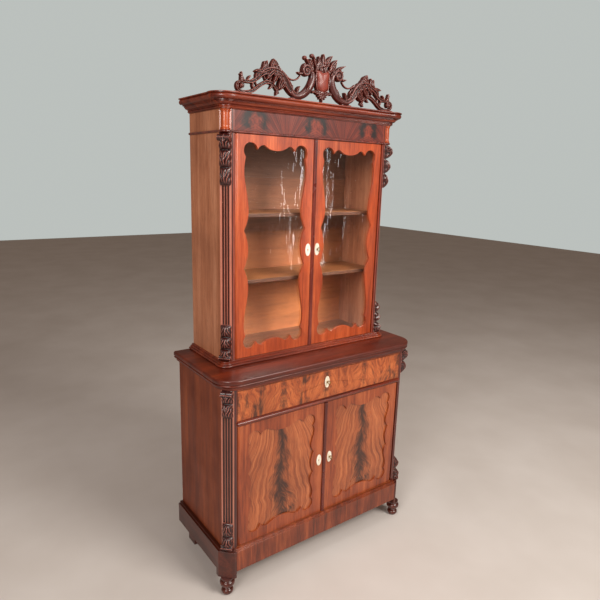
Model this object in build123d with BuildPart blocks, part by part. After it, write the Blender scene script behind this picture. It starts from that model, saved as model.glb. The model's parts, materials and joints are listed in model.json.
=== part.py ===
from build123d import *
import math
import os

# A two-stage mahogany bookcase. The lower case has a drawer above two panelled doors and
# stands on a plinth with two turned and two square feet. The shallower glazed case on top has
# shelves that rest on pegs in rows of holes, a frieze, a moulded cornice and a pierced crest.
# Millimetres. +X is to the right, the doors face -Y and +Z is up. The origin is on the floor,
# below the middle of the whole piece.

os.makedirs("parts", exist_ok=True)

# ---- Overall sizes
lower_width = 940
lower_depth = 405
table_height = 895
upper_width = 808
upper_depth = 275
upper_height = 992
crest_height = 178
crest_width = 740

# ---- Boards
side_thickness = 20
back_thickness = 12
shelf_thickness = 14
bottom_thickness = 20
door_thickness = 22

# ---- Clearances
door_gap = 1.5
slide_gap = 0.6
rest_gap = 0.3
pin_play = 0.05

# ---- Lower case, from the floor up
foot_height = 72
foot_inset = 10
rear_foot_size = 60
apron_bottom = 100
plinth_top = 194
drawer_rail_thickness = 20
drawer_opening_height = 120
top_rail_thickness = 10
table_thickness = 41
table_overhang = 24
plinth_overhang = 20
lower_corner_cut = 35
lower_border = 13
rail_depth = 60

# ---- Upper case, from the table up
base_moulding_height = 22
base_overhang = 22
frieze_height = 79
cornice_height = 51
cornice_overhang = 44
cornice_wall = 22
astragal_height = 9
astragal_overhang = 6
upper_corner_cut = 30
upper_border = 14
column_radius = 16

# ---- Pilasters and consoles
flute_radius = 4
flute_pitch = 10
upper_flutes = 3
lower_flutes = 4
upper_top_console = (182, 34)
upper_bottom_console = (140, 30)
lower_top_console = (112, 27)
lower_bottom_console = (108, 27)
upper_console_width = 48
lower_console_width = 46

# ---- Doors
strip_width = 16
strip_height = 7
upper_outer_stile = 37
upper_inner_stile = 31
upper_top_rail = 30
upper_bottom_rail = 36
lower_outer_stile = 45.5
lower_inner_stile = 48
lower_top_rail = 38
lower_bottom_rail = 39
upper_cusp = 73
lower_cusp = 48
upper_swell = 19
lower_swell = 14
rebate_margin = 6
glass_recess = 11
glass_thickness = 3
panel_recess = 6
panel_thickness = 8
pivot_radius = 3
pivot_depth = 12

# ---- Drawer
drawer_front_thickness = 20
drawer_side_thickness = 12
drawer_side_height = 100
drawer_rear_gap = 48
drawer_bottom_thickness = 6
drawer_side_inset = 8
groove_depth = 5
groove_height = 8
runner_width = 50
guide_height = 30

# ---- Locks and keys
lock_width = 18
lock_height = 60
lock_depth = 12
lock_front_wall = 2.5
lock_back_wall = 1.5
chamber_radius = 6.2
keyhole_radius = 3.2
slot_width = 2.4
slot_length = 8
key_radius = 2.2
key_bow_radius = 9
key_reach = 22
key_bow_thickness = 3
key_collar_length = 3
key_collar_rim = 1.2
key_bit_length = 4
key_bit_play = 0.3
key_end_play = 1
escutcheon_width = 24
escutcheon_height = 50
escutcheon_thickness = 1.5
upper_lock_offset = 23.5
lower_lock_offset = 28

# ---- Shelves
peg_radius = 4
peg_length = 24
peg_hole_depth = 12
peg_pitch = 32
peg_inset = 45
shelf_setback = 8
first_hole_height = 24
upper_shelf_holes = (8, 16)
upper_hole_count = 23
lower_shelf_hole = 7
lower_hole_count = 12

# ---- Places worked out from the sizes
back_y = (lower_depth + table_overhang) / 2
lower_front_y = back_y - lower_depth
upper_front_y = back_y - upper_depth
lower_half = lower_width / 2
upper_half = upper_width / 2
lower_opening = lower_half - lower_corner_cut - lower_border
upper_opening = upper_half - upper_corner_cut - upper_border
lower_inside = lower_half - side_thickness
upper_inside = upper_half - side_thickness
panel_y = back_y - back_thickness
table_underside = table_height - table_thickness
drawer_top = table_underside - top_rail_thickness
drawer_floor = drawer_top - drawer_opening_height
lower_head = drawer_floor - drawer_rail_thickness
upper_floor = table_height + base_moulding_height
cornice_top = table_height + upper_height
cornice_bottom = cornice_top - cornice_height
upper_head = cornice_bottom - frieze_height
strip_half = strip_width / 2
upper_key_z = (upper_floor + upper_head) / 2 - 12
lower_key_z = (plinth_top + lower_head) / 2 - 2
drawer_key_z = (drawer_floor + drawer_top) / 2 + 10
DIAGONAL = 1 / math.sqrt(2)


def box_between(low, high, mode=Mode.ADD):
    """A box from its lowest to its highest corner, in the open part."""
    middle = [(a + b) / 2 for a, b in zip(low, high)]
    with Locations(tuple(middle)):
        Box(high[0] - low[0], high[1] - low[1], high[2] - low[2], mode=mode)


def front_plane(y, x=0, z=0):
    """A plane that faces -Y, with its own x and y along the case's X and Z."""
    return Plane(origin=(x, y, z), x_dir=(1, 0, 0), z_dir=(0, -1, 0))


def corner_plane(half_width, front_y, corner_cut, side, z):
    """At the middle of a cut corner's face: its x points out of the face, and its y up."""
    outward = (side * DIAGONAL, -DIAGONAL, 0)
    middle = (side * (half_width - corner_cut / 2), front_y + corner_cut / 2, z)
    return Plane(origin=middle, x_dir=outward, z_dir=(outward[1], -outward[0], 0))


def plan(half_width, front_y, corner_cut, out=0):
    """A case's plan with cut front corners, grown by out on the front and both sides."""
    cut = corner_cut + (2 - math.sqrt(2)) * out
    x = half_width + out
    y = front_y - out
    return [(-x, back_y), (-x, y + cut), (-x + cut, y), (x - cut, y), (x, y + cut), (x, back_y)]


def moulding(points_of, inner, layers):
    """A moulding round the front and both sides of a case, as layers of (bottom, top, out)."""
    with BuildPart() as ring:
        for bottom, top, out in layers:
            with BuildSketch(Plane.XY.offset(bottom)):
                Polygon(*points_of(out))
                Polygon(*points_of(inner), mode=Mode.SUBTRACT)
            extrude(amount=top - bottom)
    return ring


def lower_plan(out=0):
    return plan(lower_half, lower_front_y, lower_corner_cut, out)


def upper_plan(out=0):
    return plan(upper_half, upper_front_y, upper_corner_cut, out)


# ---- Feet: turned ones under the front corners, square blocks at the back
with BuildPart() as front_feet:
    for side in (-1, 1):
        foot_x = side * (lower_half - foot_inset)
        foot_y = lower_front_y + foot_inset
        with BuildSketch(front_plane(foot_y, foot_x)):
            with BuildLine():
                Polyline((0, 0), (17, 0), (20, 4))
                ThreePointArc((20, 4), (23.5, 14), (18, 23))
                Polyline((18, 23), (18, 26), (14, 28))
                ThreePointArc((14, 28), (14.5, 32), (20, 35))
                Polyline((20, 35), (20, 37), (25, 38))
                ThreePointArc((25, 38), (30, 48), (25, 58))
                Polyline((25, 58), (21, 60), (21, 64), (25, 66), (25, foot_height))
                Polyline((25, foot_height), (0, foot_height), (0, 0))
            make_face()
        revolve(axis=Axis((foot_x, foot_y, 0), (0, 0, 1)))
front_feet.part.label = "front_feet"
export_step(front_feet.part, "parts/front_feet.step")

with BuildPart() as rear_feet:
    for side in (-1, 1):
        outer_x = side * lower_inside
        inner_x = outer_x - side * rear_foot_size
        box_between(
            (min(outer_x, inner_x), panel_y - rear_foot_size, 0),
            (max(outer_x, inner_x), panel_y, plinth_top - bottom_thickness),
        )
rear_feet.part.label = "rear_feet"
export_step(rear_feet.part, "parts/rear_feet.step")

# ---- Plinth: a front board between two side boards that carry the corner blocks
plinth_nose = 7
plinth_split = lower_half - lower_corner_cut - 1
plinth_layers = (
    (apron_bottom, plinth_top - plinth_nose, plinth_overhang),
    (plinth_top - plinth_nose, plinth_top, plinth_overhang - plinth_nose),
)

with BuildPart() as plinth_front:
    for bottom, top, out in plinth_layers:
        box_between(
            (-plinth_split, lower_front_y - out, bottom), (plinth_split, lower_front_y, top)
        )
plinth_front.part.label = "plinth_front"
export_step(plinth_front.part, "parts/plinth_front.step")

for side, name in ((-1, "plinth_left"), (1, "plinth_right")):
    ring = moulding(lower_plan, 0, plinth_layers)
    with BuildPart() as plinth_side:
        add(ring.part)
        with BuildSketch(Plane.XY.offset(foot_height)):
            Polygon(*lower_plan(plinth_overhang))
            Polygon(*lower_plan(0), mode=Mode.SUBTRACT)
            with Locations((0, back_y)):
                Rectangle(
                    2 * lower_width,
                    2 * (lower_depth - lower_corner_cut - plinth_overhang / 2),
                    mode=Mode.SUBTRACT,
                )
        extrude(amount=apron_bottom - foot_height)
        split(bisect_by=Plane.YZ.offset(side * plinth_split), keep=Keep.TOP if side > 0 else Keep.BOTTOM)
    plinth_side.part.label = name
    export_step(plinth_side.part, f"parts/{name}.step")

# ---- Lower carcass: sides, bottom board, back panel
for side, name in ((-1, "lower_left_side"), (1, "lower_right_side")):
    with BuildPart() as lower_side:
        box_between(
            (min(side * lower_inside, side * lower_half), lower_front_y + lower_corner_cut,
             apron_bottom),
            (max(side * lower_inside, side * lower_half), back_y, table_underside),
        )
        for index in range(lower_hole_count):
            hole_z = plinth_top + first_hole_height + index * peg_pitch
            for hole_y in (lower_front_y + lower_corner_cut + peg_inset, panel_y - peg_inset):
                with BuildSketch(Plane(origin=(side * lower_inside, hole_y, hole_z),
                                       z_dir=(side, 0, 0))):
                    Circle(peg_radius)
        extrude(amount=peg_hole_depth, mode=Mode.SUBTRACT)
    lower_side.part.label = name
    export_step(lower_side.part, f"parts/{name}.step")


def pivot_place(opening, front_y, side):
    """The plan position of a door's pivot: inset by half the door's thickness."""
    return side * (opening - door_gap - door_thickness / 2), front_y + door_thickness / 2


def pivot_bores(opening, front_y, z, depth, radius=pivot_radius):
    """Cuts blind bores for one pair of pivots, from z upward by depth, or down if negative."""
    for side in (-1, 1):
        with Locations((*pivot_place(opening, front_y, side), z + depth / 2)):
            Cylinder(radius, abs(depth), mode=Mode.SUBTRACT)


def case_floor(opening, inside, front_y, corner_cut, low_z, top_z):
    """A bottom board that fills the case between its sides and round its corner posts."""
    with BuildPart() as board:
        box_between((-opening, front_y, low_z), (opening, panel_y, top_z))
        box_between((-inside, front_y + corner_cut, low_z), (inside, panel_y, top_z))
        pivot_bores(opening, front_y, top_z, -pivot_depth)
    return board


lower_bottom = case_floor(
    lower_opening, lower_inside, lower_front_y, lower_corner_cut,
    plinth_top - bottom_thickness, plinth_top,
)
lower_bottom.part.label = "lower_bottom"
export_step(lower_bottom.part, "parts/lower_bottom.step")

with BuildPart() as lower_back:
    box_between((-lower_inside, panel_y, apron_bottom), (lower_inside, back_y, table_underside))
lower_back.part.label = "lower_back"
export_step(lower_back.part, "parts/lower_back.step")


# ---- Corner pilasters: posts with a cut corner, fluted between their consoles
def corner_post(half_width, front_y, cut, border, side, low_z, top_z, flutes, flute_z):
    with BuildPart() as post:
        with BuildSketch(Plane.XY.offset(low_z)):
            Polygon(
                (side * half_width, front_y + cut),
                (side * (half_width - cut), front_y),
                (side * (half_width - cut - border), front_y),
                (side * (half_width - cut - border), front_y + cut),
            )
        extrude(amount=top_z - low_z)
        with BuildSketch(Plane.XY.offset(flute_z[0])):
            for index in range(flutes):
                along = (index - (flutes - 1) / 2) * flute_pitch * DIAGONAL
                with Locations((side * (half_width - cut / 2 + along), front_y + cut / 2 + along)):
                    Circle(flute_radius)
        extrude(amount=flute_z[1] - flute_z[0], mode=Mode.SUBTRACT)
    return post


for side, name in ((-1, "lower_left_pilaster"), (1, "lower_right_pilaster")):
    pilaster = corner_post(
        lower_half, lower_front_y, lower_corner_cut, lower_border, side,
        foot_height, table_underside, lower_flutes,
        (plinth_top + lower_bottom_console[0], table_underside - lower_top_console[0]),
    )
    pilaster.part.label = name
    export_step(pilaster.part, f"parts/{name}.step")

for side, name in ((-1, "upper_left_pilaster"), (1, "upper_right_pilaster")):
    pilaster = corner_post(
        upper_half, upper_front_y, upper_corner_cut, upper_border, side,
        table_height, cornice_bottom, upper_flutes,
        (upper_floor + upper_bottom_console[0], upper_head - upper_top_console[0]),
    )
    pilaster.part.label = name
    export_step(pilaster.part, f"parts/{name}.step")


# ---- Consoles: scrolled brackets on the pilasters, with the large volute up or down
def console(plane, height, reach, width, volute_up):
    toe = 7

    def level(share):
        return height * (share if volute_up else 1 - share)

    with BuildPart() as bracket:
        with BuildSketch(plane):
            with BuildLine():
                Polyline((toe, level(0)), (0, level(0)), (0, level(1)), (reach * 0.8, level(1)))
                Spline(
                    (reach * 0.8, level(1)),
                    (reach, level(0.9)),
                    (reach * 0.8, level(0.76)),
                    (reach * 0.42, level(0.5)),
                    (reach * 0.3, level(0.25)),
                    (reach * 0.42, level(0.1)),
                    (toe, level(0)),
                )
            make_face()
        extrude(amount=width / 2, both=True)
    return bracket


def four_consoles(half_width, front_y, cut, width, low_z, bottom_size, head_z, top_size):
    with BuildPart() as group:
        for side in (-1, 1):
            low_plane = corner_plane(half_width, front_y, cut, side, low_z)
            top_plane = corner_plane(half_width, front_y, cut, side, head_z - top_size[0])
            add(console(low_plane, *bottom_size, width, False).part)
            add(console(top_plane, *top_size, width, True).part)
    return group


lower_consoles = four_consoles(
    lower_half, lower_front_y, lower_corner_cut, lower_console_width,
    plinth_top, lower_bottom_console, table_underside, lower_top_console,
)
lower_consoles.part.label = "lower_consoles"
export_step(lower_consoles.part, "parts/lower_consoles.step")

upper_consoles = four_consoles(
    upper_half, upper_front_y, upper_corner_cut, upper_console_width,
    upper_floor, upper_bottom_console, upper_head, upper_top_console,
)
upper_consoles.part.label = "upper_consoles"
export_step(upper_consoles.part, "parts/upper_consoles.step")

# ---- Rails, drawer runners and table top
rail_nose = 9
rail_nose_height = 15
with BuildPart() as drawer_rail:
    box_between(
        (-lower_opening, lower_front_y, lower_head),
        (lower_opening, lower_front_y + rail_depth, drawer_floor),
    )
    nose_z = (lower_head + drawer_floor) / 2 + 1
    with BuildSketch(Plane.YZ.offset(-lower_opening)):
        with Locations((lower_front_y, nose_z)):
            Ellipse(rail_nose, rail_nose_height / 2)
        with Locations((lower_front_y + rail_nose, nose_z)):
            Rectangle(2 * rail_nose, rail_nose_height, mode=Mode.SUBTRACT)
    extrude(amount=2 * lower_opening)
    pivot_bores(lower_opening, lower_front_y, lower_head, pivot_depth)
drawer_rail.part.label = "drawer_rail"
export_step(drawer_rail.part, "parts/drawer_rail.step")

with BuildPart() as top_rail:
    box_between(
        (-lower_opening, lower_front_y, drawer_top),
        (lower_opening, lower_front_y + rail_depth, table_underside),
    )
top_rail.part.label = "top_rail"
export_step(top_rail.part, "parts/top_rail.step")

drawer_half = lower_opening - 2 * door_gap - drawer_side_inset
with BuildPart() as drawer_runners:
    for side in (-1, 1):
        outer_x = side * lower_inside
        runner_x = outer_x - side * runner_width
        guide_x = side * (drawer_half + slide_gap)
        rear_of_post = lower_front_y + rail_depth
        box_between(
            (min(outer_x, runner_x), rear_of_post, lower_head),
            (max(outer_x, runner_x), panel_y, drawer_floor),
        )
        box_between(
            (min(outer_x, guide_x), rear_of_post, drawer_floor),
            (max(outer_x, guide_x), panel_y, drawer_floor + guide_height),
        )
drawer_runners.part.label = "drawer_runners"
export_step(drawer_runners.part, "parts/drawer_runners.step")

under_moulding = 14
under_overhang = 12
table_corner_radius = 80
table_top_radius = 5
table_low_radius = 9
with BuildPart() as table_top:
    with BuildSketch(Plane.XY.offset(table_underside)):
        Polygon(*lower_plan(under_overhang))
    extrude(amount=under_moulding)
    with BuildSketch(Plane.XY.offset(table_underside + under_moulding)) as slab:
        Polygon(*lower_plan(table_overhang))
        fillet(slab.vertices().filter_by(lambda v: v.Y < back_y - 1), table_corner_radius)
    extrude(amount=table_thickness - under_moulding)
    rim = table_top.edges().filter_by(lambda e: e.center().Y < back_y - 1)
    fillet(rim.group_by(Axis.Z)[-1], table_top_radius)
    low_rim = table_top.edges().filter_by(
        lambda e: abs(e.center().Z - table_underside - under_moulding) < 0.1
        and abs(e.bounding_box().size.Z) < 0.1
        and e.center().Y < back_y - 1
        and not (abs(e.center().X) < lower_half + under_overhang + 0.1
                 and e.center().Y > lower_front_y - under_overhang - 0.1)
    )
    fillet(low_rim, table_low_radius)
table_top.part.label = "table_top"
export_step(table_top.part, "parts/table_top.step")

# ---- Upper carcass
base_moulding = moulding(
    upper_plan, 0,
    (
        (table_height, table_height + 4, base_overhang),
        (table_height + 4, table_height + 11, base_overhang - 3),
        (table_height + 11, table_height + 15, base_overhang - 9),
        (table_height + 15, upper_floor, base_overhang - 13),
    ),
)
base_moulding.part.label = "base_moulding"
export_step(base_moulding.part, "parts/base_moulding.step")

for side, name in ((-1, "upper_left_side"), (1, "upper_right_side")):
    with BuildPart() as upper_side:
        box_between(
            (min(side * upper_inside, side * upper_half), upper_front_y + upper_corner_cut,
             table_height),
            (max(side * upper_inside, side * upper_half), back_y, cornice_bottom),
        )
        for index in range(upper_hole_count):
            hole_z = upper_floor + first_hole_height + index * peg_pitch
            for hole_y in (upper_front_y + upper_corner_cut + peg_inset, panel_y - peg_inset):
                with BuildSketch(Plane(origin=(side * upper_inside, hole_y, hole_z),
                                       z_dir=(side, 0, 0))):
                    Circle(peg_radius)
        extrude(amount=peg_hole_depth, mode=Mode.SUBTRACT)
    upper_side.part.label = name
    export_step(upper_side.part, f"parts/{name}.step")

upper_bottom = case_floor(
    upper_opening, upper_inside, upper_front_y, upper_corner_cut, table_height, upper_floor
)
upper_bottom.part.label = "upper_bottom"
export_step(upper_bottom.part, "parts/upper_bottom.step")

frieze_thickness = door_thickness
with BuildPart() as frieze_board:
    box_between(
        (-upper_opening, upper_front_y, upper_head),
        (upper_opening, upper_front_y + frieze_thickness, cornice_bottom),
    )
    pivot_bores(upper_opening, upper_front_y, upper_head, pivot_depth)
frieze_board.part.label = "frieze_board"
export_step(frieze_board.part, "parts/frieze_board.step")

upper_top_thickness = 18
with BuildPart() as upper_top:
    box_between(
        (-upper_inside, upper_front_y + upper_corner_cut, cornice_bottom - upper_top_thickness),
        (upper_inside, panel_y, cornice_bottom),
    )
upper_top.part.label = "upper_top"
export_step(upper_top.part, "parts/upper_top.step")

back_board_count = 4
back_board_height = (cornice_bottom - upper_floor) / back_board_count
with BuildPart() as upper_back_boards:
    for index in range(back_board_count):
        board_z = upper_floor + index * back_board_height
        box_between(
            (-upper_inside, panel_y, board_z),
            (upper_inside, back_y, board_z + back_board_height - slide_gap),
        )
upper_back_boards.part.label = "upper_back_boards"
export_step(upper_back_boards.part, "parts/upper_back_boards.step")

# ---- Astragal, frieze columns and cornice
astragal_top = upper_head + astragal_height
astragal_lip = 2
astragal = moulding(
    upper_plan, 0,
    (
        (upper_head, upper_head + astragal_lip, astragal_overhang - astragal_lip),
        (upper_head + astragal_lip, astragal_top - astragal_lip, astragal_overhang),
        (astragal_top - astragal_lip, astragal_top, astragal_overhang - astragal_lip),
    ),
)
astragal.part.label = "astragal"
export_step(astragal.part, "parts/astragal.step")

cap_height = 8
cap_radius = column_radius + 3
with BuildPart() as frieze_columns:
    for side in (-1, 1):
        face = corner_plane(upper_half, upper_front_y, upper_corner_cut, side, astragal_top)
        across = Plane(origin=face.origin, x_dir=(-face.z_dir.X * side, -face.z_dir.Y * side, 0),
                       z_dir=(face.x_dir.X * side, face.x_dir.Y * side, 0))
        column_height = cornice_bottom - astragal_top
        with BuildSketch(across):
            with BuildLine():
                Polyline((0, 0), (cap_radius, 0), (cap_radius, cap_height / 2),
                         (column_radius, cap_height))
                Line((column_radius, cap_height), (column_radius, column_height - cap_height))
                ThreePointArc(
                    (column_radius, column_height - cap_height),
                    (cap_radius, column_height - cap_height / 2),
                    (column_radius, column_height),
                )
                Polyline((column_radius, column_height), (0, column_height), (0, 0))
            make_face()
        revolve(axis=Axis(face.origin, (0, 0, 1)), revolution_arc=-180 * side)
frieze_columns.part.label = "frieze_columns"
export_step(frieze_columns.part, "parts/frieze_columns.step")


# The cornice steps outward as it rises, and breaks out in a round ear over each column.
ear_x = upper_half - upper_corner_cut / 2
ear_y = upper_front_y + upper_corner_cut / 2
ear_breakout = 5
cornice_steps = (
    (0, 5, 7), (5, 9, 12), (9, 13, 15), (13, 17, 20), (17, 22, 24), (22, 27, 28),
    (27, 30, 35), (30, 34, 40), (34, 40, 43), (40, 49, cornice_overhang),
    (49, cornice_height, cornice_overhang - 2),
)
with BuildPart() as cornice:
    for bottom, top, out in cornice_steps:
        with BuildSketch(Plane.XY.offset(cornice_bottom + bottom)):
            Polygon(*upper_plan(out))
            with Locations((-ear_x, ear_y), (ear_x, ear_y)):
                Circle(upper_corner_cut / 2 + out + ear_breakout)
            Polygon(*upper_plan(-cornice_wall), mode=Mode.SUBTRACT)
        extrude(amount=top - bottom)
cornice.part.label = "cornice"
export_step(cornice.part, "parts/cornice.step")


# ---- Crest: a pierced carving of scrolls, leaves and a shield, cut from one board
crest_thickness = 24
crest_setback = 6
crest_y = upper_front_y - cornice_overhang + crest_setback + crest_thickness / 2
crest_end = crest_width / 2
end_volute = (crest_end - 20, 24)
end_volute_radius = 18
middle_volute = (77, 104)
middle_volute_radius = 22
shield_half = 30


def leaf(x, y, length, width, angle):
    """A pointed leaf from its root, in the open sketch."""
    reach = (length * math.cos(math.radians(angle)), length * math.sin(math.radians(angle)))
    middle = (x + reach[0] / 2, y + reach[1] / 2)
    with Locations(Location(middle, angle)):
        Ellipse(length / 2, width / 2)


def crest_scrolls():
    """The right-hand half's scrolls, as widths and centre lines, and its leaves."""
    end_x, end_y = end_volute
    scrolls = (
        (11, [(end_x, 7), (328, 7), (302, 14), (274, 34), (246, 47), (220, 42), (205, 26), (199, 12)]),
        (12, [(end_x + 2, end_y + 18), (334, 41), (312, 42), (292, 52), (270, 70)]),
        (22, [(278, 64), (246, 82), (216, 85), (190, 76), (170, 58), (152, 36), (132, 17), (112, 14)]),
        (22, [(140, 15), (112, 14), (84, 22), (62, 42), (50, 66), (46, 90)]),
        (7, [(168, 74), (148, 68), (128, 68), (108, 78), (94, 92)]),
        (7, [(294, 50), (288, 36), (276, 30)]),
        (7, [(258, 78), (252, 60), (244, 46)]),
    )
    leaves = (
        (344, 38, 28, 10, 105), (268, 74, 30, 12, 110), (242, 86, 26, 13, 90), (216, 88, 28, 14, 95),
        (192, 84, 28, 14, 65), (172, 70, 26, 14, 30), (46, 112, 66, 18, 24), (40, 110, 60, 20, 52),
        (20, 116, 52, 24, 75),
    )
    return scrolls, leaves


with BuildSketch() as crest_half:
    scroll_bands, crest_leaves = crest_scrolls()
    for band_width, points in scroll_bands:
        with BuildLine():
            Spline(*points)
        trace(line_width=band_width)
    for root_x, root_y, length, width, angle in crest_leaves:
        leaf(root_x, root_y, length, width, angle)
    with Locations(end_volute):
        Circle(end_volute_radius)
    with Locations(middle_volute):
        Circle(middle_volute_radius)
    with Locations((end_volute[0], 6)):
        Rectangle(40, 12)
    with Locations((120, 6)):
        Rectangle(40, 12)

with BuildPart() as crest:
    with BuildSketch(front_plane(crest_y + crest_thickness / 2, 0, cornice_top)):
        add(crest_half.sketch)
        mirror(about=Plane.YZ)
        with BuildLine():
            Polyline((-shield_half, 46), (-22, 36), (0, 30), (22, 36), (shield_half, 46))
            Line((shield_half, 46), (46, 116))
            Spline((46, 116), (34, 148), (0, crest_height - 8), (-34, 148), (-46, 116))
            Line((-46, 116), (-shield_half, 46))
        make_face()
        with Locations((0, 20)):
            Rectangle(14, 40)
        with Locations((0, crest_height - 16)):
            Circle(16)
    extrude(amount=crest_thickness)
crest.part.label = "crest"
export_step(crest.part, "parts/crest.step")


# ---- Doors
def scalloped_opening(half_width, half_height, cusp, swell):
    """An opening with a round ear in each corner and waved edges, two cusps to a side."""
    ear_height = 48
    ear_width = 58
    ear_pinch = 9
    dip_depth = 22
    ear_side = half_height - ear_height
    ear_top = half_width - ear_width
    dip = half_height - dip_depth
    with BuildLine() as quarter:
        ThreePointArc(
            (half_width - swell, 0), (half_width - swell * 0.72, cusp * 0.53), (half_width, cusp)
        )
        Spline(
            (half_width, cusp),
            (half_width - swell, cusp + (ear_side - cusp) * 0.36),
            (half_width - 1, cusp + (ear_side - cusp) * 0.83),
            (half_width - ear_pinch, ear_side),
        )
        ThreePointArc(
            (half_width - ear_pinch, ear_side),
            (half_width - 5, half_height - 8),
            (ear_top, dip + 2),
        )
        Spline(
            (ear_top, dip + 2), (ear_top - 20, half_height - 4), (0, dip),
            tangents=((-0.5, 1), (-1, 0)),
        )
    with BuildSketch() as shape:
        with BuildLine():
            add(quarter.line)
            mirror(about=Plane.XZ)
            mirror(about=Plane.YZ)
        make_face()
    return shape.sketch


def keyhole():
    """A round keyhole with a slot below it, about its own centre."""
    with BuildSketch() as shape:
        Circle(keyhole_radius)
        with Locations((0, -slot_length / 2)):
            Rectangle(slot_width, slot_length)
    return shape.sketch


def leaf_sizes(opening, side, stiles, rails, floor_z, head_z):
    """A door leaf's outline, and the middle and half sizes of the opening in it."""
    outer = side * (opening - door_gap)
    inner = side * strip_half if side > 0 else -strip_half - door_gap
    low_z = floor_z + door_gap
    high_z = head_z - door_gap
    edge_x = outer - side * stiles[0]
    strip_x = side * (strip_half + stiles[1])
    middle = ((edge_x + strip_x) / 2, (low_z + rails[0] + high_z - rails[1]) / 2)
    halves = (abs(edge_x - strip_x) / 2, (high_z - rails[1] - low_z - rails[0]) / 2)
    return (min(outer, inner), max(outer, inner), low_z, high_z), middle, halves


def leaf_frame(side, opening, front_y, sizes, cusp, swell, recess, key_x, key_z):
    """A framed leaf, rounded on its hanging edge, with a waved opening and a rear rebate."""
    (low_x, high_x, low_z, high_z), middle, halves = sizes
    rear_y = front_y + door_thickness
    pivot_x, pivot_y = pivot_place(opening, front_y, side)
    with BuildPart() as frame:
        with BuildSketch(front_plane(rear_y)):
            with Locations(((low_x + high_x) / 2, (low_z + high_z) / 2)):
                Rectangle(high_x - low_x, high_z - low_z)
        extrude(amount=door_thickness)
        hanging = frame.edges().filter_by(Axis.Z).filter_by(
            lambda e: abs(e.center().X - side * (opening - door_gap)) < 0.1
        )
        fillet(hanging, door_thickness / 2 - 0.5)
        with BuildSketch(front_plane(rear_y)):
            with Locations(middle):
                add(scalloped_opening(*halves, cusp, swell))
        extrude(amount=door_thickness, mode=Mode.SUBTRACT)
        with BuildSketch(front_plane(rear_y)):
            with Locations(middle):
                Rectangle(2 * (halves[0] + rebate_margin), 2 * (halves[1] + rebate_margin))
        extrude(amount=door_thickness - recess, mode=Mode.SUBTRACT)
        for bore_z, up in ((low_z, 1), (high_z, -1)):
            with Locations((pivot_x, pivot_y, bore_z + up * (pivot_depth + 1) / 2)):
                Cylinder(pivot_radius + pin_play, pivot_depth + 1, mode=Mode.SUBTRACT)
        if key_x > 0:
            box_between(
                (key_x - lock_width / 2, rear_y - lock_depth, key_z - lock_height / 2),
                (key_x + lock_width / 2, rear_y, key_z + lock_height / 2),
                mode=Mode.SUBTRACT,
            )
            with BuildSketch(front_plane(rear_y)):
                with Locations((key_x, key_z)):
                    add(keyhole())
            extrude(amount=door_thickness, mode=Mode.SUBTRACT)
    return frame


def infill(front_y, middle, halves, recess, thickness):
    """The pane or panel that lies in a leaf's rebate."""
    with BuildPart() as pane:
        with BuildSketch(front_plane(front_y + recess + thickness)):
            with Locations(middle):
                Rectangle(
                    2 * (halves[0] + rebate_margin), 2 * (halves[1] + rebate_margin)
                )
        extrude(amount=thickness)
    return pane


def closing_strip(front_y, low_z, high_z):
    """The half-round strip on the right-hand leaf, in front of the gap between the leaves."""
    with BuildPart() as strip:
        with BuildSketch(Plane.XY.offset(low_z)):
            with Locations((0, front_y)):
                Ellipse(strip_half, strip_height)
            with Locations((0, front_y + strip_height)):
                Rectangle(2 * strip_width, 2 * strip_height, mode=Mode.SUBTRACT)
        extrude(amount=high_z - low_z)
    return strip


def escutcheon(x, y, z):
    """An oval bone plate round a keyhole."""
    with BuildPart() as plate:
        with BuildSketch(front_plane(y, x, z)):
            Ellipse(escutcheon_width / 2, escutcheon_height / 2)
            add(keyhole(), mode=Mode.SUBTRACT)
        extrude(amount=escutcheon_thickness)
    return plate


def lock_case(x, rear_y, z, width=lock_width, height=lock_height):
    """A lock let into the back of its board: a bored case with a chamber for the key's bit."""
    with BuildPart() as lock:
        box_between(
            (x - width / 2, rear_y - lock_depth, z - height / 2),
            (x + width / 2, rear_y, z + height / 2),
        )
        with BuildSketch(front_plane(rear_y - lock_back_wall, x, z)):
            Circle(chamber_radius)
        extrude(amount=lock_depth - lock_front_wall - lock_back_wall, mode=Mode.SUBTRACT)
        with BuildSketch(front_plane(rear_y - lock_back_wall, x, z)):
            Circle(key_radius + pin_play)
            with Locations((0, -chamber_radius / 2)):
                Rectangle(slot_width, chamber_radius)
        extrude(amount=lock_depth - lock_back_wall, mode=Mode.SUBTRACT)
    return lock


def lock_key(x, front_y, rear_y, z):
    """A key: a ring bow, a collar, a shank that turns in the lock, and a bit in its chamber."""
    bow_y = front_y - key_reach + key_bow_radius
    collar_y = bow_y + key_bow_radius + 2
    tip_y = rear_y - lock_back_wall - key_end_play
    with BuildPart() as key:
        with BuildSketch(front_plane(tip_y, x, z)):
            Circle(key_radius)
        extrude(amount=tip_y - bow_y - key_bow_radius + key_bow_thickness / 2)
        with BuildSketch(front_plane(collar_y, x, z)):
            Circle(key_radius + key_collar_rim)
        extrude(amount=key_collar_length)
        with BuildSketch(Plane.YZ.offset(x - key_bow_thickness / 2)):
            with Locations((bow_y, z)):
                Circle(key_bow_radius)
                Circle(key_bow_radius - key_bow_thickness, mode=Mode.SUBTRACT)
        extrude(amount=key_bow_thickness)
        box_between(
            (x - slot_width / 2 + key_bit_play, tip_y - key_bit_length,
             z - chamber_radius + key_bit_play),
            (x + slot_width / 2 - key_bit_play, tip_y, z),
        )
    return key


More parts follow.
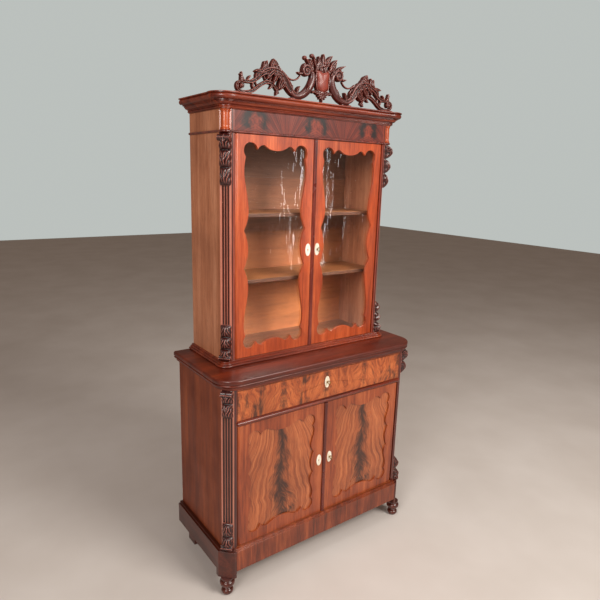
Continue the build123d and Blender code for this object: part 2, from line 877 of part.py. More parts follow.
lower_doors = (lower_opening, (lower_outer_stile, lower_inner_stile),
               (lower_bottom_rail, lower_top_rail), plinth_top, lower_head)
upper_doors = (upper_opening, (upper_outer_stile, upper_inner_stile),
               (upper_bottom_rail, upper_top_rail), upper_floor, upper_head)
door_kinds = (
    ("lower", lower_doors, lower_front_y, lower_cusp, lower_swell, panel_recess, panel_thickness,
     lower_lock_offset, lower_key_z, "panel"),
    ("upper", upper_doors, upper_front_y, upper_cusp, upper_swell, glass_recess, glass_thickness,
     upper_lock_offset, upper_key_z, "glass"),
)
for case, doors, front_y, cusp, swell, recess, thickness, lock_x, key_z, filling in door_kinds:
    opening, stiles, rails, floor_z, head_z = doors
    for side, hand in ((-1, "left"), (1, "right")):
        sizes = leaf_sizes(opening, side, stiles, rails, floor_z, head_z)
        frame = leaf_frame(
            side, opening, front_y, sizes, cusp, swell, recess, side * lock_x, key_z
        )
        frame.part.label = f"{case}_{hand}_door_frame"
        export_step(frame.part, f"parts/{frame.part.label}.step")
        pane = infill(front_y, sizes[1], sizes[2], recess, thickness)
        pane.part.label = f"{case}_{hand}_door_{filling}"
        export_step(pane.part, f"parts/{pane.part.label}.step")
        plate = escutcheon(side * lock_x, front_y, key_z)
        plate.part.label = f"{case}_{hand}_escutcheon"
        export_step(plate.part, f"parts/{plate.part.label}.step")
    strip = closing_strip(front_y, floor_z + door_gap, head_z - door_gap)
    strip.part.label = f"{case}_closing_strip"
    export_step(strip.part, f"parts/{strip.part.label}.step")
    lock = lock_case(lock_x, front_y + door_thickness, key_z)
    lock.part.label = f"{case}_door_lock"
    export_step(lock.part, f"parts/{lock.part.label}.step")
    key = lock_key(lock_x, front_y, front_y + door_thickness, key_z)
    key.part.label = f"{case}_door_key"
    export_step(key.part, f"parts/{key.part.label}.step")

with BuildPart() as door_pivots:
    for opening, front_y, floor_z, head_z in (
        (lower_opening, lower_front_y, plinth_top, lower_head),
        (upper_opening, upper_front_y, upper_floor, upper_head),
    ):
        for side in (-1, 1):
            for seat_z in (floor_z, head_z):
                with Locations((*pivot_place(opening, front_y, side), seat_z)):
                    Cylinder(pivot_radius, 2 * pivot_depth)
door_pivots.part.label = "door_pivots"
export_step(door_pivots.part, "parts/door_pivots.step")

# ---- Drawer
drawer_low = drawer_floor + slide_gap
drawer_rear = panel_y - drawer_rear_gap
bottom_z = drawer_low + groove_height
bottom_half = drawer_half - drawer_side_thickness + groove_depth
lining_y = lower_front_y + drawer_front_thickness

with BuildPart() as drawer_bottom:
    box_between(
        (-bottom_half, lining_y - groove_depth, bottom_z),
        (bottom_half, drawer_rear, bottom_z + drawer_bottom_thickness),
    )
drawer_bottom.part.label = "drawer_bottom"
export_step(drawer_bottom.part, "parts/drawer_bottom.step")

with BuildPart() as drawer_front:
    box_between(
        (-lower_opening + door_gap, lower_front_y, drawer_floor + door_gap),
        (lower_opening - door_gap, lining_y, drawer_top - door_gap),
    )
    box_between(
        (-bottom_half, lining_y - groove_depth, bottom_z),
        (bottom_half, lining_y, bottom_z + drawer_bottom_thickness),
        mode=Mode.SUBTRACT,
    )
    box_between(
        (-lock_height / 2, lining_y - lock_depth, drawer_key_z - lock_width),
        (lock_height / 2, lining_y, drawer_key_z + lock_width),
        mode=Mode.SUBTRACT,
    )
    with BuildSketch(front_plane(lining_y, 0, drawer_key_z)):
        add(keyhole())
    extrude(amount=drawer_front_thickness, mode=Mode.SUBTRACT)
drawer_front.part.label = "drawer_front"
export_step(drawer_front.part, "parts/drawer_front.step")

with BuildPart() as drawer_sides:
    for side in (-1, 1):
        outer_x = side * drawer_half
        inner_x = side * (drawer_half - drawer_side_thickness)
        box_between(
            (min(outer_x, inner_x), lining_y, drawer_low),
            (max(outer_x, inner_x), drawer_rear, drawer_low + drawer_side_height),
        )
    box_between(
        (-bottom_half, lining_y, bottom_z),
        (bottom_half, drawer_rear, bottom_z + drawer_bottom_thickness),
        mode=Mode.SUBTRACT,
    )
drawer_sides.part.label = "drawer_sides"
export_step(drawer_sides.part, "parts/drawer_sides.step")

with BuildPart() as drawer_back:
    box_between(
        (-drawer_half + drawer_side_thickness, drawer_rear - drawer_side_thickness,
         bottom_z + drawer_bottom_thickness),
        (drawer_half - drawer_side_thickness, drawer_rear, drawer_low + drawer_side_height),
    )
drawer_back.part.label = "drawer_back"
export_step(drawer_back.part, "parts/drawer_back.step")

drawer_lock = lock_case(0, lining_y, drawer_key_z, lock_height, 2 * lock_width)
drawer_lock.part.label = "drawer_lock"
export_step(drawer_lock.part, "parts/drawer_lock.step")

drawer_escutcheon = escutcheon(0, lower_front_y, drawer_key_z)
drawer_escutcheon.part.label = "drawer_escutcheon"
export_step(drawer_escutcheon.part, "parts/drawer_escutcheon.step")

drawer_key = lock_key(0, lower_front_y, lining_y, drawer_key_z)
drawer_key.part.label = "drawer_key"
export_step(drawer_key.part, "parts/drawer_key.step")


# ---- Adjustable shelves and the pegs that they rest on
def hole_height(floor_z, index):
    return floor_z + first_hole_height + index * peg_pitch


def shelf(inside, front_y, corner_cut, floor_z, index):
    """A shelf between the sides, resting on the pegs in its row of holes."""
    low_z = hole_height(floor_z, index) + peg_radius + rest_gap
    with BuildPart() as board:
        box_between(
            (-inside + slide_gap, front_y + corner_cut + shelf_setback, low_z),
            (inside - slide_gap, panel_y - slide_gap, low_z + shelf_thickness),
        )
    return board


lower_shelf = shelf(lower_inside, lower_front_y, lower_corner_cut, plinth_top, lower_shelf_hole)
lower_shelf.part.label = "lower_shelf"
export_step(lower_shelf.part, "parts/lower_shelf.step")

for index, name in zip(upper_shelf_holes, ("upper_shelf_low", "upper_shelf_high")):
    upper_shelf = shelf(upper_inside, upper_front_y, upper_corner_cut, upper_floor, index)
    upper_shelf.part.label = name
    export_step(upper_shelf.part, f"parts/{name}.step")

peg_rows = [(lower_inside, lower_front_y + lower_corner_cut, plinth_top, lower_shelf_hole)]
for index in upper_shelf_holes:
    peg_rows.append((upper_inside, upper_front_y + upper_corner_cut, upper_floor, index))
with BuildPart() as shelf_pegs:
    for inside, post_y, floor_z, index in peg_rows:
        for side in (-1, 1):
            for peg_y in (post_y + peg_inset, panel_y - peg_inset):
                with Locations(
                    Location(
                        (side * (inside + peg_hole_depth - peg_length / 2), peg_y,
                         hole_height(floor_z, index)),
                        (0, 90, 0),
                    )
                ):
                    Cylinder(peg_radius, peg_length)
shelf_pegs.part.label = "shelf_pegs"
export_step(shelf_pegs.part, "parts/shelf_pegs.step")
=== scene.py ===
import json
import math

import bmesh
import bpy
from mathutils import Matrix, Vector, noise


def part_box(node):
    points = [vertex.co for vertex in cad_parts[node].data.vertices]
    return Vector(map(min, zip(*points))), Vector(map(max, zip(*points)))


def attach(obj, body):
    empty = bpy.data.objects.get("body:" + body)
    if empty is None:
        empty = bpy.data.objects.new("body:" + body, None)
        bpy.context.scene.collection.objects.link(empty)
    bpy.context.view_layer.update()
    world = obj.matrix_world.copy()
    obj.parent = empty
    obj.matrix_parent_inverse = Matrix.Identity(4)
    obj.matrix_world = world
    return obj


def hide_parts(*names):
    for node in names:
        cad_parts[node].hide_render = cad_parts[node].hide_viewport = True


# Looks for a two-stage mahogany bookcase: carving, mouldings, veneers, old glass and bone. Metres.
# X runs to the right, the doors face -Y and Z is up, with the origin on the floor.

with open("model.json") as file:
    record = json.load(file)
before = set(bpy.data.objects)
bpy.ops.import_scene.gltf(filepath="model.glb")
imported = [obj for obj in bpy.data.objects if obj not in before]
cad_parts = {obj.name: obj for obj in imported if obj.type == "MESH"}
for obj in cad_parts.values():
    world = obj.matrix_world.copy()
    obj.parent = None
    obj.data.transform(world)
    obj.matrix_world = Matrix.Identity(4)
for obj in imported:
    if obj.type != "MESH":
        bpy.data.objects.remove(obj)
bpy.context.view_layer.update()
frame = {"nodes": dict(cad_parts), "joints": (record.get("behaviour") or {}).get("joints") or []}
nodes = frame["nodes"]
MM = 0.001
DIAGONAL = math.sqrt(0.5)
SHARP_ANGLE = 40
CARVING_VOXEL = 0.0012
CREST_VOXEL = 0.0014
TABLE_OVERHANG = 0.024
TABLE_CORNER_RADIUS = 0.080
CAMERA_PLACE = (-1.3135, -1.7767, 1.6143)
CAMERA_TURN = (-36.2535, -13.101, 1.6304)
FOCAL_LENGTH = 31.88


# ---- Places read from the frame
def low(node):
    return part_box(node)[0]


def high(node):
    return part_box(node)[1]


def middle(node):
    return (low(node) + high(node)) / 2


back_y = high("lower_back").y
upper_half = high("upper_right_side").x
upper_front_y = low("frieze_board").y
lower_half = high("lower_right_side").x
lower_front_y = low("top_rail").y
upper_cut = low("upper_right_side").y - upper_front_y
lower_cut = low("lower_right_side").y - lower_front_y
cornice_top = high("cornice").z
table_top_z = high("table_top").z
upper_floor_z = high("base_moulding").z


# ---- Meshes
class Shape:
    """Points and faces of a mesh as it is built."""

    def __init__(self):
        self.points = []
        self.faces = []

    def grid(self, rows, wrap=False, caps=False):
        """Joins rows of points into quads, wraps each row round, and closes both ends."""
        start = len(self.points)
        count = len(rows[0])
        for row in rows:
            self.points.extend(tuple(point) for point in row)
        for index in range(len(rows) - 1):
            for step in range(count if wrap else count - 1):
                here = start + index * count + step
                beside = start + index * count + (step + 1) % count
                self.faces.append((here, beside, beside + count, here + count))
        if caps:
            last = start + (len(rows) - 1) * count
            self.faces.append(tuple(reversed(range(start, start + count))))
            self.faces.append(tuple(range(last, last + count)))

    def skin(self, rows):
        """A closed skin round rows of points that go round a solid."""
        self.grid(rows, wrap=True, caps=True)

    def lathe(self, centre, profile, axis="z", steps=48):
        """Turns a profile of (radius, height) round an axis through centre."""
        rows = []
        for radius, height in profile:
            row = []
            for index in range(steps):
                turn = 2 * math.pi * index / steps
                offset = Vector((radius * math.cos(turn), radius * math.sin(turn), height))
                row.append(Vector(centre) + (offset if axis == "z" else offset.xzy))
            rows.append(row)
        self.skin(rows)


def shares(steps):
    """Even shares from 0 to 1."""
    return [step / steps for step in range(steps + 1)]


def add_piece(name, shape, material, body, replaced=(), sharp=SHARP_ANGLE):
    """Makes a piece of a shape, with smooth faces and sharp edges past an angle."""
    mesh = bpy.data.meshes.new(name)
    mesh.from_pydata(shape.points, [], shape.faces)
    work = bmesh.new()
    work.from_mesh(mesh)
    bmesh.ops.recalc_face_normals(work, faces=work.faces)
    work.to_mesh(mesh)
    work.free()
    mesh.shade_smooth()
    mesh.set_sharp_from_angle(angle=math.radians(sharp))
    mesh.materials.append(material)
    piece = bpy.data.objects.new(name, mesh)
    bpy.context.scene.collection.objects.link(piece)
    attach(piece, body)
    if replaced:
        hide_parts(*replaced)
    return piece


def fuse(piece, voxel):
    """Joins a piece's overlapping solids into one skin, softened like hand-finished carving."""
    remesh = piece.modifiers.new("fuse", "REMESH")
    remesh.mode = "VOXEL"
    remesh.voxel_size = voxel
    soften = piece.modifiers.new("soften", "SMOOTH")
    soften.iterations = 2
    bpy.context.view_layer.update()
    fused = bpy.data.meshes.new_from_object(
        piece.evaluated_get(bpy.context.evaluated_depsgraph_get())
    )
    piece.modifiers.clear()
    piece.data = fused
    fused.shade_smooth()


# ---- Materials
def tone(red, green, blue):
    """A colour given by its display values from 0 to 255, as linear light."""
    shares = [part / 255 for part in (red, green, blue)]
    return (*(share**2.2 for share in shares), 1)


def tones(*colours):
    return [tone(*colour) for colour in colours]


class Graph:
    """A material's nodes, with one short call for each kind."""

    def __init__(self, name):
        self.material = bpy.data.materials.new(name)
        self.material.use_nodes = True
        self.tree = self.material.node_tree
        self.shader = self.tree.nodes["Principled BSDF"]
        self.place = self.new("TexCoord").outputs["Object"]
        self.x, self.y, self.z = self.new("SeparateXYZ", self.place).outputs

    def new(self, kind, *values, **named):
        """Adds a node, and sets or links its first inputs and the named ones."""
        node = self.tree.nodes.new(f"ShaderNode{kind}")
        for socket, value in zip(node.inputs, values):
            self.feed(socket, value)
        self.fill(node, **named)
        return node

    def fill(self, node, **named):
        """Sets or links inputs by name, with _ for a space."""
        for name, value in named.items():
            self.feed(node.inputs[name.replace("_", " ")], value)

    def feed(self, socket, value):
        if isinstance(value, bpy.types.NodeSocket):
            self.tree.links.new(value, socket)
        else:
            socket.default_value = value

    def math(self, operation, *values):
        node = self.new("Math", *values)
        node.operation = operation
        return node.outputs[0]

    def plus(self, first, second):
        return self.math("ADD", first, second)

    def minus(self, first, second):
        return self.math("SUBTRACT", first, second)

    def times(self, first, second):
        return self.math("MULTIPLY", first, second)

    def weighed(self, first, share, second):
        """A share of the first value, and the rest of the second."""
        return self.plus(self.times(first, share), self.times(second, 1 - share))

    def sway(self, value, amount):
        """A noise value moved to swing about nought, by an amount."""
        return self.times(self.minus(value, 0.5), amount)

    def vector(self, x=0.0, y=0.0, z=0.0):
        return self.new("CombineXYZ", x, y, z).outputs[0]

    def stretched(self, factors):
        node = self.new("VectorMath", self.place, factors)
        node.operation = "MULTIPLY"
        return node.outputs[0]

    def noise(self, vector, scale=1.0, detail=4.0, roughness=0.55, distortion=0.0):
        look = {"Detail": detail, "Roughness": roughness, "Distortion": distortion}
        return self.new("TexNoise", Vector=vector, Scale=scale, **look).outputs[0]

    def flowing(self, across, across_scale, up, up_scale, layer, **look):
        """Noise drawn out along a flow. Each layer has a pattern of its own."""
        place = self.vector(self.times(across, across_scale), layer, self.times(up, up_scale))
        return self.noise(place, **look)

    def ramp(self, value, stops):
        stops = tuple(stops)
        node = self.new("ValToRGB", value)
        band = node.color_ramp
        while len(band.elements) < len(stops):
            band.elements.new(0.5)
        for element, (position, colour) in zip(band.elements, stops):
            element.position = position
            element.color = colour
        return node.outputs[0]

    def blend(self, share, first, second, kind="MIX"):
        node = self.new("Mix")
        node.data_type = "RGBA"
        node.blend_type = kind
        self.feed(node.inputs[0], share)
        self.feed(node.inputs[6], first)
        self.feed(node.inputs[7], second)
        return node.outputs[2]

    def span(self, value, start, end, low_value=0.0, high_value=1.0):
        """Maps start..end to low..high, clamped."""
        node = self.new("MapRange", value, start, end, low_value, high_value)
        node.interpolation_type = "SMOOTHSTEP"
        return node.outputs[0]

    def bump(self, height, strength, distance):
        node = self.new("Bump", Height=height, Strength=strength, Distance=distance)
        self.fill(self.shader, Normal=node.outputs[0])

    def finish(self, colour, roughness, coat=0.0, coat_roughness=0.1):
        self.fill(self.shader, Base_Color=colour, Roughness=roughness)
        self.fill(self.shader, Coat_Weight=coat, Coat_Roughness=coat_roughness)
        return self.material


GRAIN = {"x": (0.07, 1, 1), "y": (1, 0.07, 1), "z": (1, 1, 0.07)}
STREAK_STOPS = (0.34, 0.5, 0.66)
PORE_SCALE, PORE_STRETCH = 900, 0.03


def pores_of(graph, along="z"):
    """Fine pores, drawn out along one axis."""
    factors = [PORE_SCALE * (f if f == 1 else PORE_STRETCH) for f in GRAIN[along]]
    return graph.noise(graph.stretched(factors), detail=2)


def grained(graph, colours, along, coarse, broad_share=0.6):
    """Dark, middle and light wood laid by the grain: (colour, fine streaks, pores)."""
    factors = GRAIN[along]
    broad = graph.noise(graph.stretched([coarse * 22 * f for f in factors]), detail=3, distortion=0.6)
    fine = graph.noise(graph.stretched([coarse * 150 * f for f in factors]), detail=4)
    pores = pores_of(graph, along)
    mixed = graph.weighed(broad, broad_share, fine)
    return graph.ramp(mixed, zip(STREAK_STOPS, colours)), fine, pores


def polish(graph, colour, fine, pores, gloss, coat):
    """Adds pores, faint wear and a French polish to a wood colour."""
    pore_mask = graph.span(pores, 0.58, 0.72)
    colour = graph.blend(graph.times(pore_mask, 0.55), colour, tone(40, 16, 12))
    cloud = graph.noise(graph.place, scale=5, detail=3)
    wear = graph.span(cloud, 0.35, 0.75, 0.0, 0.28)
    colour = graph.blend(wear, colour, tone(96, 44, 32), "MULTIPLY")
    rough = graph.span(cloud, 0.3, 0.7, gloss, gloss + 0.14)
    graph.bump(graph.plus(graph.times(pores, -0.6), fine), 0.16, 0.0004)
    return graph.finish(colour, rough, coat)


def plain_wood(name, dark, mid, light, along, coarse, gloss, coat):
    graph = Graph(name)
    grain = grained(graph, tones(dark, mid, light), along, coarse, 0.65)
    return polish(graph, *grain, gloss, coat)


def crotch_panel(name, centre_x, bottom_z, height, colours):
    """Flame veneer: fine streaks that fan up and out from a dark, feathered plume."""
    graph = Graph(name)
    dark, brown, mid, light = colours
    drift = graph.sway(graph.noise(graph.vector(centre_x * 7, 0.0, graph.z), scale=8, detail=2), 0.07)
    from_core = graph.plus(graph.minus(graph.x, centre_x), drift)
    rise = graph.math("DIVIDE", graph.minus(graph.z, bottom_z), height)
    opening = graph.span(rise, 0.05, 1.25, 1.2, 0.4)
    wander = graph.noise(graph.place, scale=7, detail=3, distortion=0.3)
    flow = graph.plus(graph.math("DIVIDE", from_core, opening), graph.sway(wander, 0.016))
    side = graph.math("ABSOLUTE", flow)
    climb = graph.plus(graph.z, graph.times(side, 1.6))
    broad = graph.flowing(flow, 74.0, climb, 2.2, 0.0, detail=6, roughness=0.66)
    fine = graph.flowing(flow, 240.0, climb, 9.0, 2.0, detail=4, roughness=0.62)
    streaks = graph.weighed(broad, 0.5, fine)
    colour = graph.ramp(streaks, ((0.36, brown), (0.49, mid), (0.64, light)))
    cloud = graph.noise(graph.stretched((14, 1, 9)), detail=3)
    colour = graph.blend(graph.span(cloud, 0.4, 0.7, 0.0, 0.25), colour, brown)
    feather = graph.flowing(flow, 26.0, climb, 62.0, 3.0, detail=5, roughness=0.72)
    plume = graph.flowing(flow, 14.0, graph.z, 9.0, 7.0, detail=3)
    reach = graph.plus(graph.plus(side, graph.sway(feather, 0.13)), graph.sway(plume, 0.12))
    core = graph.span(reach, -0.002, 0.046, 1.0, 0.0)
    grey = graph.span(reach, 0.0, 0.085, 0.45, 0.0)
    colour = graph.blend(grey, colour, brown)
    colour = graph.blend(graph.times(core, 0.92), colour, dark)
    return polish(graph, colour, streaks, pores_of(graph), 0.27, 0.3)


def flame_band(name, spacing, colours, shift):
    """Matched leaves of flame veneer side by side, mirrored at each joint, as on a long front."""
    graph = Graph(name)
    dark, brown, mid, light = colours
    fold = graph.math("PINGPONG", graph.plus(graph.x, 10 * spacing + shift), spacing)
    wander = graph.noise(graph.place, scale=7, detail=4, distortion=0.8)
    flow = graph.plus(fold, graph.sway(wander, 0.11))
    swirl = graph.plus(flow, graph.times(graph.z, 0.35))
    broad = graph.flowing(swirl, 36.0, graph.z, 7.0, 0.0, detail=5, roughness=0.62, distortion=0.4)
    fine = graph.flowing(swirl, 190.0, graph.z, 26.0, 4.0, detail=4, roughness=0.62)
    streaks = graph.weighed(broad, 0.62, fine)
    colour = graph.ramp(streaks, ((0.38, brown), (0.48, mid), (0.60, light)))
    blotch = graph.noise(graph.stretched((13, 1, 5)), detail=5, roughness=0.72, distortion=0.6)
    colour = graph.blend(graph.span(blotch, 0.52, 0.66, 0.0, 0.85), colour, dark)
    feather = graph.flowing(fold, 60.0, graph.z, 40.0, 5.0, detail=5, roughness=0.72)
    reach = graph.plus(flow, graph.sway(feather, 0.12))
    colour = graph.blend(graph.span(reach, -0.01, 0.02, 0.75, 0.0), colour, dark)
    from_joint = graph.math("ABSOLUTE", graph.minus(fold, spacing))
    colour = graph.blend(graph.span(from_joint, 0.0, 0.0008, 0.5, 0.0), colour, dark)
    return polish(graph, colour, streaks, pores_of(graph), 0.27, 0.3)


def frieze_veneer(name, spacing, eye_z, colours):
    """Three dark crotch figures, each with a mottled red heart, and fans of streaks between them."""
    graph = Graph(name)
    dark, brown, mid, light = colours
    aside = graph.math("PINGPONG", graph.plus(graph.x, 6 * spacing), spacing / 2)
    wander = graph.sway(graph.noise(graph.place, scale=26, detail=5, roughness=0.65), 0.05)
    up = graph.minus(graph.z, eye_z)
    across = graph.plus(aside, wander)
    tall = graph.times(graph.minus(up, wander), 0.8)
    radius = graph.math("POWER", graph.plus(graph.times(across, across), graph.times(tall, tall)), 0.5)
    fan_turn = graph.math("ARCTAN2", graph.minus(spacing / 2, aside), graph.plus(up, 0.075))
    fan_place = graph.vector(graph.times(fan_turn, 20.0), graph.times(radius, 6.0))
    fans = graph.noise(fan_place, detail=5, roughness=0.65)
    colour = graph.ramp(fans, zip(STREAK_STOPS, (brown, mid, light)))
    smoke = graph.noise(graph.stretched((34, 1, 22)), detail=5, roughness=0.7, distortion=0.8)
    ring = graph.math("ABSOLUTE", graph.minus(radius, 0.037))
    ring = graph.plus(ring, graph.sway(smoke, 0.05))
    lower_gap = graph.span(up, -0.034, -0.006, 0.018, 0.0)
    ring_mask = graph.span(graph.plus(ring, lower_gap), 0.002, 0.026, 0.97, 0.0)
    colour = graph.blend(ring_mask, colour, dark)
    mottled = graph.noise(graph.stretched((110, 1, 60)), detail=5, roughness=0.7)
    mottled = graph.span(mottled, 0.4, 0.6)
    heart = graph.span(radius, 0.012, 0.03, 0.75, 0.0)
    colour = graph.blend(graph.times(heart, mottled), colour, light)
    return polish(graph, colour, fans, pores_of(graph), 0.42, 0.08)


def fluted_post(name, case, *colours):
    """A fluted post with a painted highlight on its face and on the ridges between the flutes, and
    painted shade in the flutes.
    """
    half, front_y, cut = case
    graph = Graph(name)
    colour, fine, pores = grained(graph, tones(*colours), "z", 1.0)
    outward = graph.times(graph.minus(graph.math("ABSOLUTE", graph.x), graph.y), DIAGONAL)
    face = (half - cut / 2 - (front_y + cut / 2)) * DIAGONAL
    sunk = graph.minus(face, outward)
    # Painted highlight: the face and the ridges between the flutes are blended toward pale pink.
    painted_ridge_highlight = graph.span(sunk, -0.0002, 0.0009, 1.0, 0.0)
    on_face = graph.span(sunk, 0.0045, 0.006, 1.0, 0.0)
    colour = graph.blend(graph.times(painted_ridge_highlight, 0.75), colour, tone(206, 134, 112))
    # Painted shade: the flutes are blended toward near black.
    hollow = graph.times(graph.span(sunk, 0.0008, 0.003), on_face)
    colour = graph.blend(graph.times(hollow, 0.85), colour, tone(44, 16, 14))
    return polish(graph, colour, fine, pores, 0.26, 0.4)


def board_wood(name, base_z, board_height, colours):
    """Plain boards laid one over another, each in the tone given for it, bottom board first."""
    graph = Graph(name)
    shades = tones((200, 190, 180), (232, 228, 222), (255, 255, 255))
    shade, fine, pores = grained(graph, shades, "x", 0.6)
    level = graph.math("DIVIDE", graph.minus(graph.z, base_z), board_height * len(colours))
    stops = []
    for index, colour in enumerate(colours):
        for edge in (0.03, 0.97):
            stops.append(((index + edge) / len(colours), colour))
    colour = graph.blend(1.0, graph.ramp(level, stops), shade, "MULTIPLY")
    return polish(graph, colour, fine, pores, 0.5, 0.0)


def shade_edged_shelf(name, shelf_front_y):
    """A shelf board with painted shade on its front edge, standing in for the dark shadow line there."""
    graph = Graph(name)
    shades = tones((122, 72, 40), (148, 92, 54), (168, 112, 70))
    colour, fine, pores = grained(graph, shades, "x", 0.6)
    # Painted shade: the front few millimetres are blended toward dark brown.
    painted_edge_shade = graph.span(graph.y, shelf_front_y + 0.0005, shelf_front_y + 0.003, 0.85, 0.0)
    colour = graph.blend(painted_edge_shade, colour, tone(70, 34, 22))
    return polish(graph, colour, fine, pores, 0.45, 0.0)


def carved_wood(name, *colours):
    """Waxed carving with painted shade in the hollows and a painted highlight on the ridges, set by the
    mesh's pointiness and mixed with grain.
    """
    graph = Graph(name)
    # Painted light: low pointiness takes the dark tone as painted shade, and high pointiness takes the
    # light tone as a painted highlight.
    painted_ridge_light_crevice_shade = graph.span(graph.new("NewGeometry").outputs["Pointiness"], 0.46, 0.58)
    grain = graph.noise(graph.stretched((90, 90, 14)), detail=4)
    colour = graph.ramp(graph.weighed(painted_ridge_light_crevice_shade, 0.65, grain), zip((0.12, 0.45, 0.85), tones(*colours)))
    dust = graph.noise(graph.place, scale=35, detail=4)
    graph.bump(grain, 0.2, 0.0004)
    return graph.finish(colour, graph.span(dust, 0.3, 0.7, 0.28, 0.48), 0.3, 0.18)


def bone():
    graph = Graph("bone")
    cloud = graph.noise(graph.stretched((60, 60, 25)), detail=4)
    speck = graph.noise(graph.stretched((900, 900, 200)), detail=2)
    shades = tones((214, 200, 172), (240, 234, 218), (248, 246, 238))
    colour = graph.ramp(cloud, zip((0.3, 0.55, 0.8), shades))
    colour = graph.blend(graph.span(speck, 0.62, 0.74, 0.0, 0.35), colour, tone(150, 120, 84))
    graph.bump(speck, 0.15, 0.0002)
    return graph.finish(colour, graph.span(cloud, 0.3, 0.7, 0.28, 0.4), 0.2)


def metal(name, dark, bright):
    graph = Graph(name)
    cloud = graph.noise(graph.place, scale=140, detail=5)
    colour = graph.ramp(cloud, zip((0.35, 0.65), tones(dark, bright)))
    graph.fill(graph.shader, Metallic=1.0)
    graph.bump(cloud, 0.25, 0.0003)
    return graph.finish(colour, graph.span(cloud, 0.3, 0.7, 0.32, 0.55))


def old_glass():
    """Drawn glass with faint streaks in its surface."""
    graph = Graph("old_glass")
    streak = graph.noise(graph.stretched((26, 26, 5)), detail=2)
    graph.bump(streak, 0.35, 0.004)
    graph.fill(graph.shader, Transmission_Weight=1.0, IOR=1.48)
    tint = graph.ramp(streak, ((0.3, (0.93, 0.96, 0.94, 1)), (0.7, (0.98, 0.99, 0.98, 1))))
    return graph.finish(tint, graph.span(streak, 0.3, 0.7, 0.0, 0.03))


# Each veneer's tones run from its dark heart to its brightest streaks
FLAME = tones((42, 23, 16), (108, 51, 27), (166, 86, 47), (208, 126, 78))
DRAWER_FLAME = tones((52, 26, 15), (112, 48, 20), (164, 78, 36), (200, 108, 56))
FRIEZE_FLAME = tones((16, 6, 8), (70, 20, 12), (100, 32, 18), (140, 56, 34))
# Back board tones from the bottom up: each board has its own tone, lighter and warmer at the bottom and
# darker toward the top as painted light and shade.
SHADED_BOARD_TONES = tones((208, 124, 70), (176, 106, 64), (152, 94, 62), (132, 84, 58))
LEAF_SPACING = 0.105
FIGURE_SPACING = 0.275
board_height = (high("upper_back_boards").z - upper_floor_z) / len(SHADED_BOARD_TONES)
upper_case = (upper_half, upper_front_y, upper_cut)
lower_case = (lower_half, lower_front_y, lower_cut)

# Dark, middle and light tones, then the way of the grain, its coarseness, the gloss and the coat
PLAIN_WOODS = {
    "orange_mahogany": ((132, 50, 24), (178, 76, 38), (206, 102, 58), "z", 1.0, 0.34, 0.15),
    "brown_mahogany": ((110, 46, 26), (150, 70, 36), (184, 98, 56), "z", 1.0, 0.3, 0.25),
    "dark_red_mahogany": ((70, 26, 20), (106, 42, 32), (142, 66, 50), "z", 1.0, 0.22, 0.5),
    "foot_mahogany": ((48, 19, 13), (80, 33, 23), (110, 50, 36), "z", 1.0, 0.22, 0.4),
    "red_mahogany": ((78, 28, 17), (118, 46, 27), (152, 70, 42), "x", 1.0, 0.24, 0.35),
    "cornice_mahogany": ((76, 26, 15), (118, 44, 25), (152, 68, 40), "x", 1.0, 0.3, 0.2),
    "faded_mahogany": ((152, 92, 64), (178, 114, 82), (200, 138, 106), "z", 0.9, 0.45, 0.0),
    "side_mahogany": ((96, 38, 14), (122, 54, 22), (144, 70, 32), "z", 0.9, 0.45, 0.0),
    "table_mahogany": ((66, 21, 9), (96, 34, 15), (126, 51, 25), "x", 1.0, 0.34, 0.2),
    "plinth_veneer": ((78, 32, 16), (124, 54, 26), (158, 80, 42), "z", 1.6, 0.3, 0.25),
    "plinth_mahogany": ((50, 18, 10), (78, 30, 17), (104, 46, 27), "y", 1.0, 0.3, 0.25),
    "column_mahogany": ((140, 54, 24), (184, 82, 40), (214, 112, 62), "z", 1.0, 0.28, 0.25),
    "shield_mahogany": ((104, 40, 30), (134, 56, 43), (158, 76, 60), "z", 1.0, 0.36, 0.1),
    "strip_mahogany": ((70, 26, 22), (112, 44, 36), (160, 84, 70), "z", 1.0, 0.2, 0.5),
    "inner_floor_wood": ((122, 70, 40), (150, 90, 54), (172, 110, 68), "x", 0.6, 0.5, 0.0),
    "inner_side_wood": ((124, 74, 46), (152, 96, 62), (174, 118, 80), "z", 1.0, 0.5, 0.0),
    "drawer_softwood": ((140, 104, 66), (182, 144, 98), (206, 170, 124), "y", 1.0, 0.55, 0.0),
    "back_softwood": ((120, 88, 58), (156, 120, 84), (182, 146, 106), "z", 1.0, 0.6, 0.0),
}
woods = {name: plain_wood(name, *look) for name, look in PLAIN_WOODS.items()}

# Woods with a figure, an edge or carving
inner_boards = board_wood("inner_softwood", upper_floor_z, board_height, SHADED_BOARD_TONES)
upper_shelf_wood = shade_edged_shelf("upper_shelf_wood", low("upper_shelf_low").y)
lower_shelf_wood = shade_edged_shelf("lower_shelf_wood", low("lower_shelf").y)
drawer_veneer = flame_band("drawer_flame", LEAF_SPACING, DRAWER_FLAME, shift=0.005)
frieze_wood = frieze_veneer(
    "frieze_flame", FIGURE_SPACING, middle("frieze_board").z + 0.003, FRIEZE_FLAME)
# Each carving's tones: a dark one of painted shade for the hollows, a middle one, and a light one of
# painted highlight for the ridges.
carving = carved_wood("carved_mahogany", (16, 5, 5), (64, 24, 20), (176, 104, 90))
crest_wood = carved_wood("crest_mahogany", (24, 9, 8), (80, 32, 27), (148, 80, 68))
upper_post_wood = fluted_post(
    "upper_post_mahogany", upper_case, (98, 40, 30), (144, 66, 50), (180, 96, 76))
lower_post_wood = fluted_post(
    "lower_post_mahogany", lower_case, (66, 24, 18), (96, 38, 28), (126, 56, 42))
bone_white = bone()
dull_iron = metal("dull_iron", (70, 62, 54), (128, 116, 102))
worn_brass = metal("worn_brass", (120, 88, 44), (186, 148, 88))
glass = old_glass()


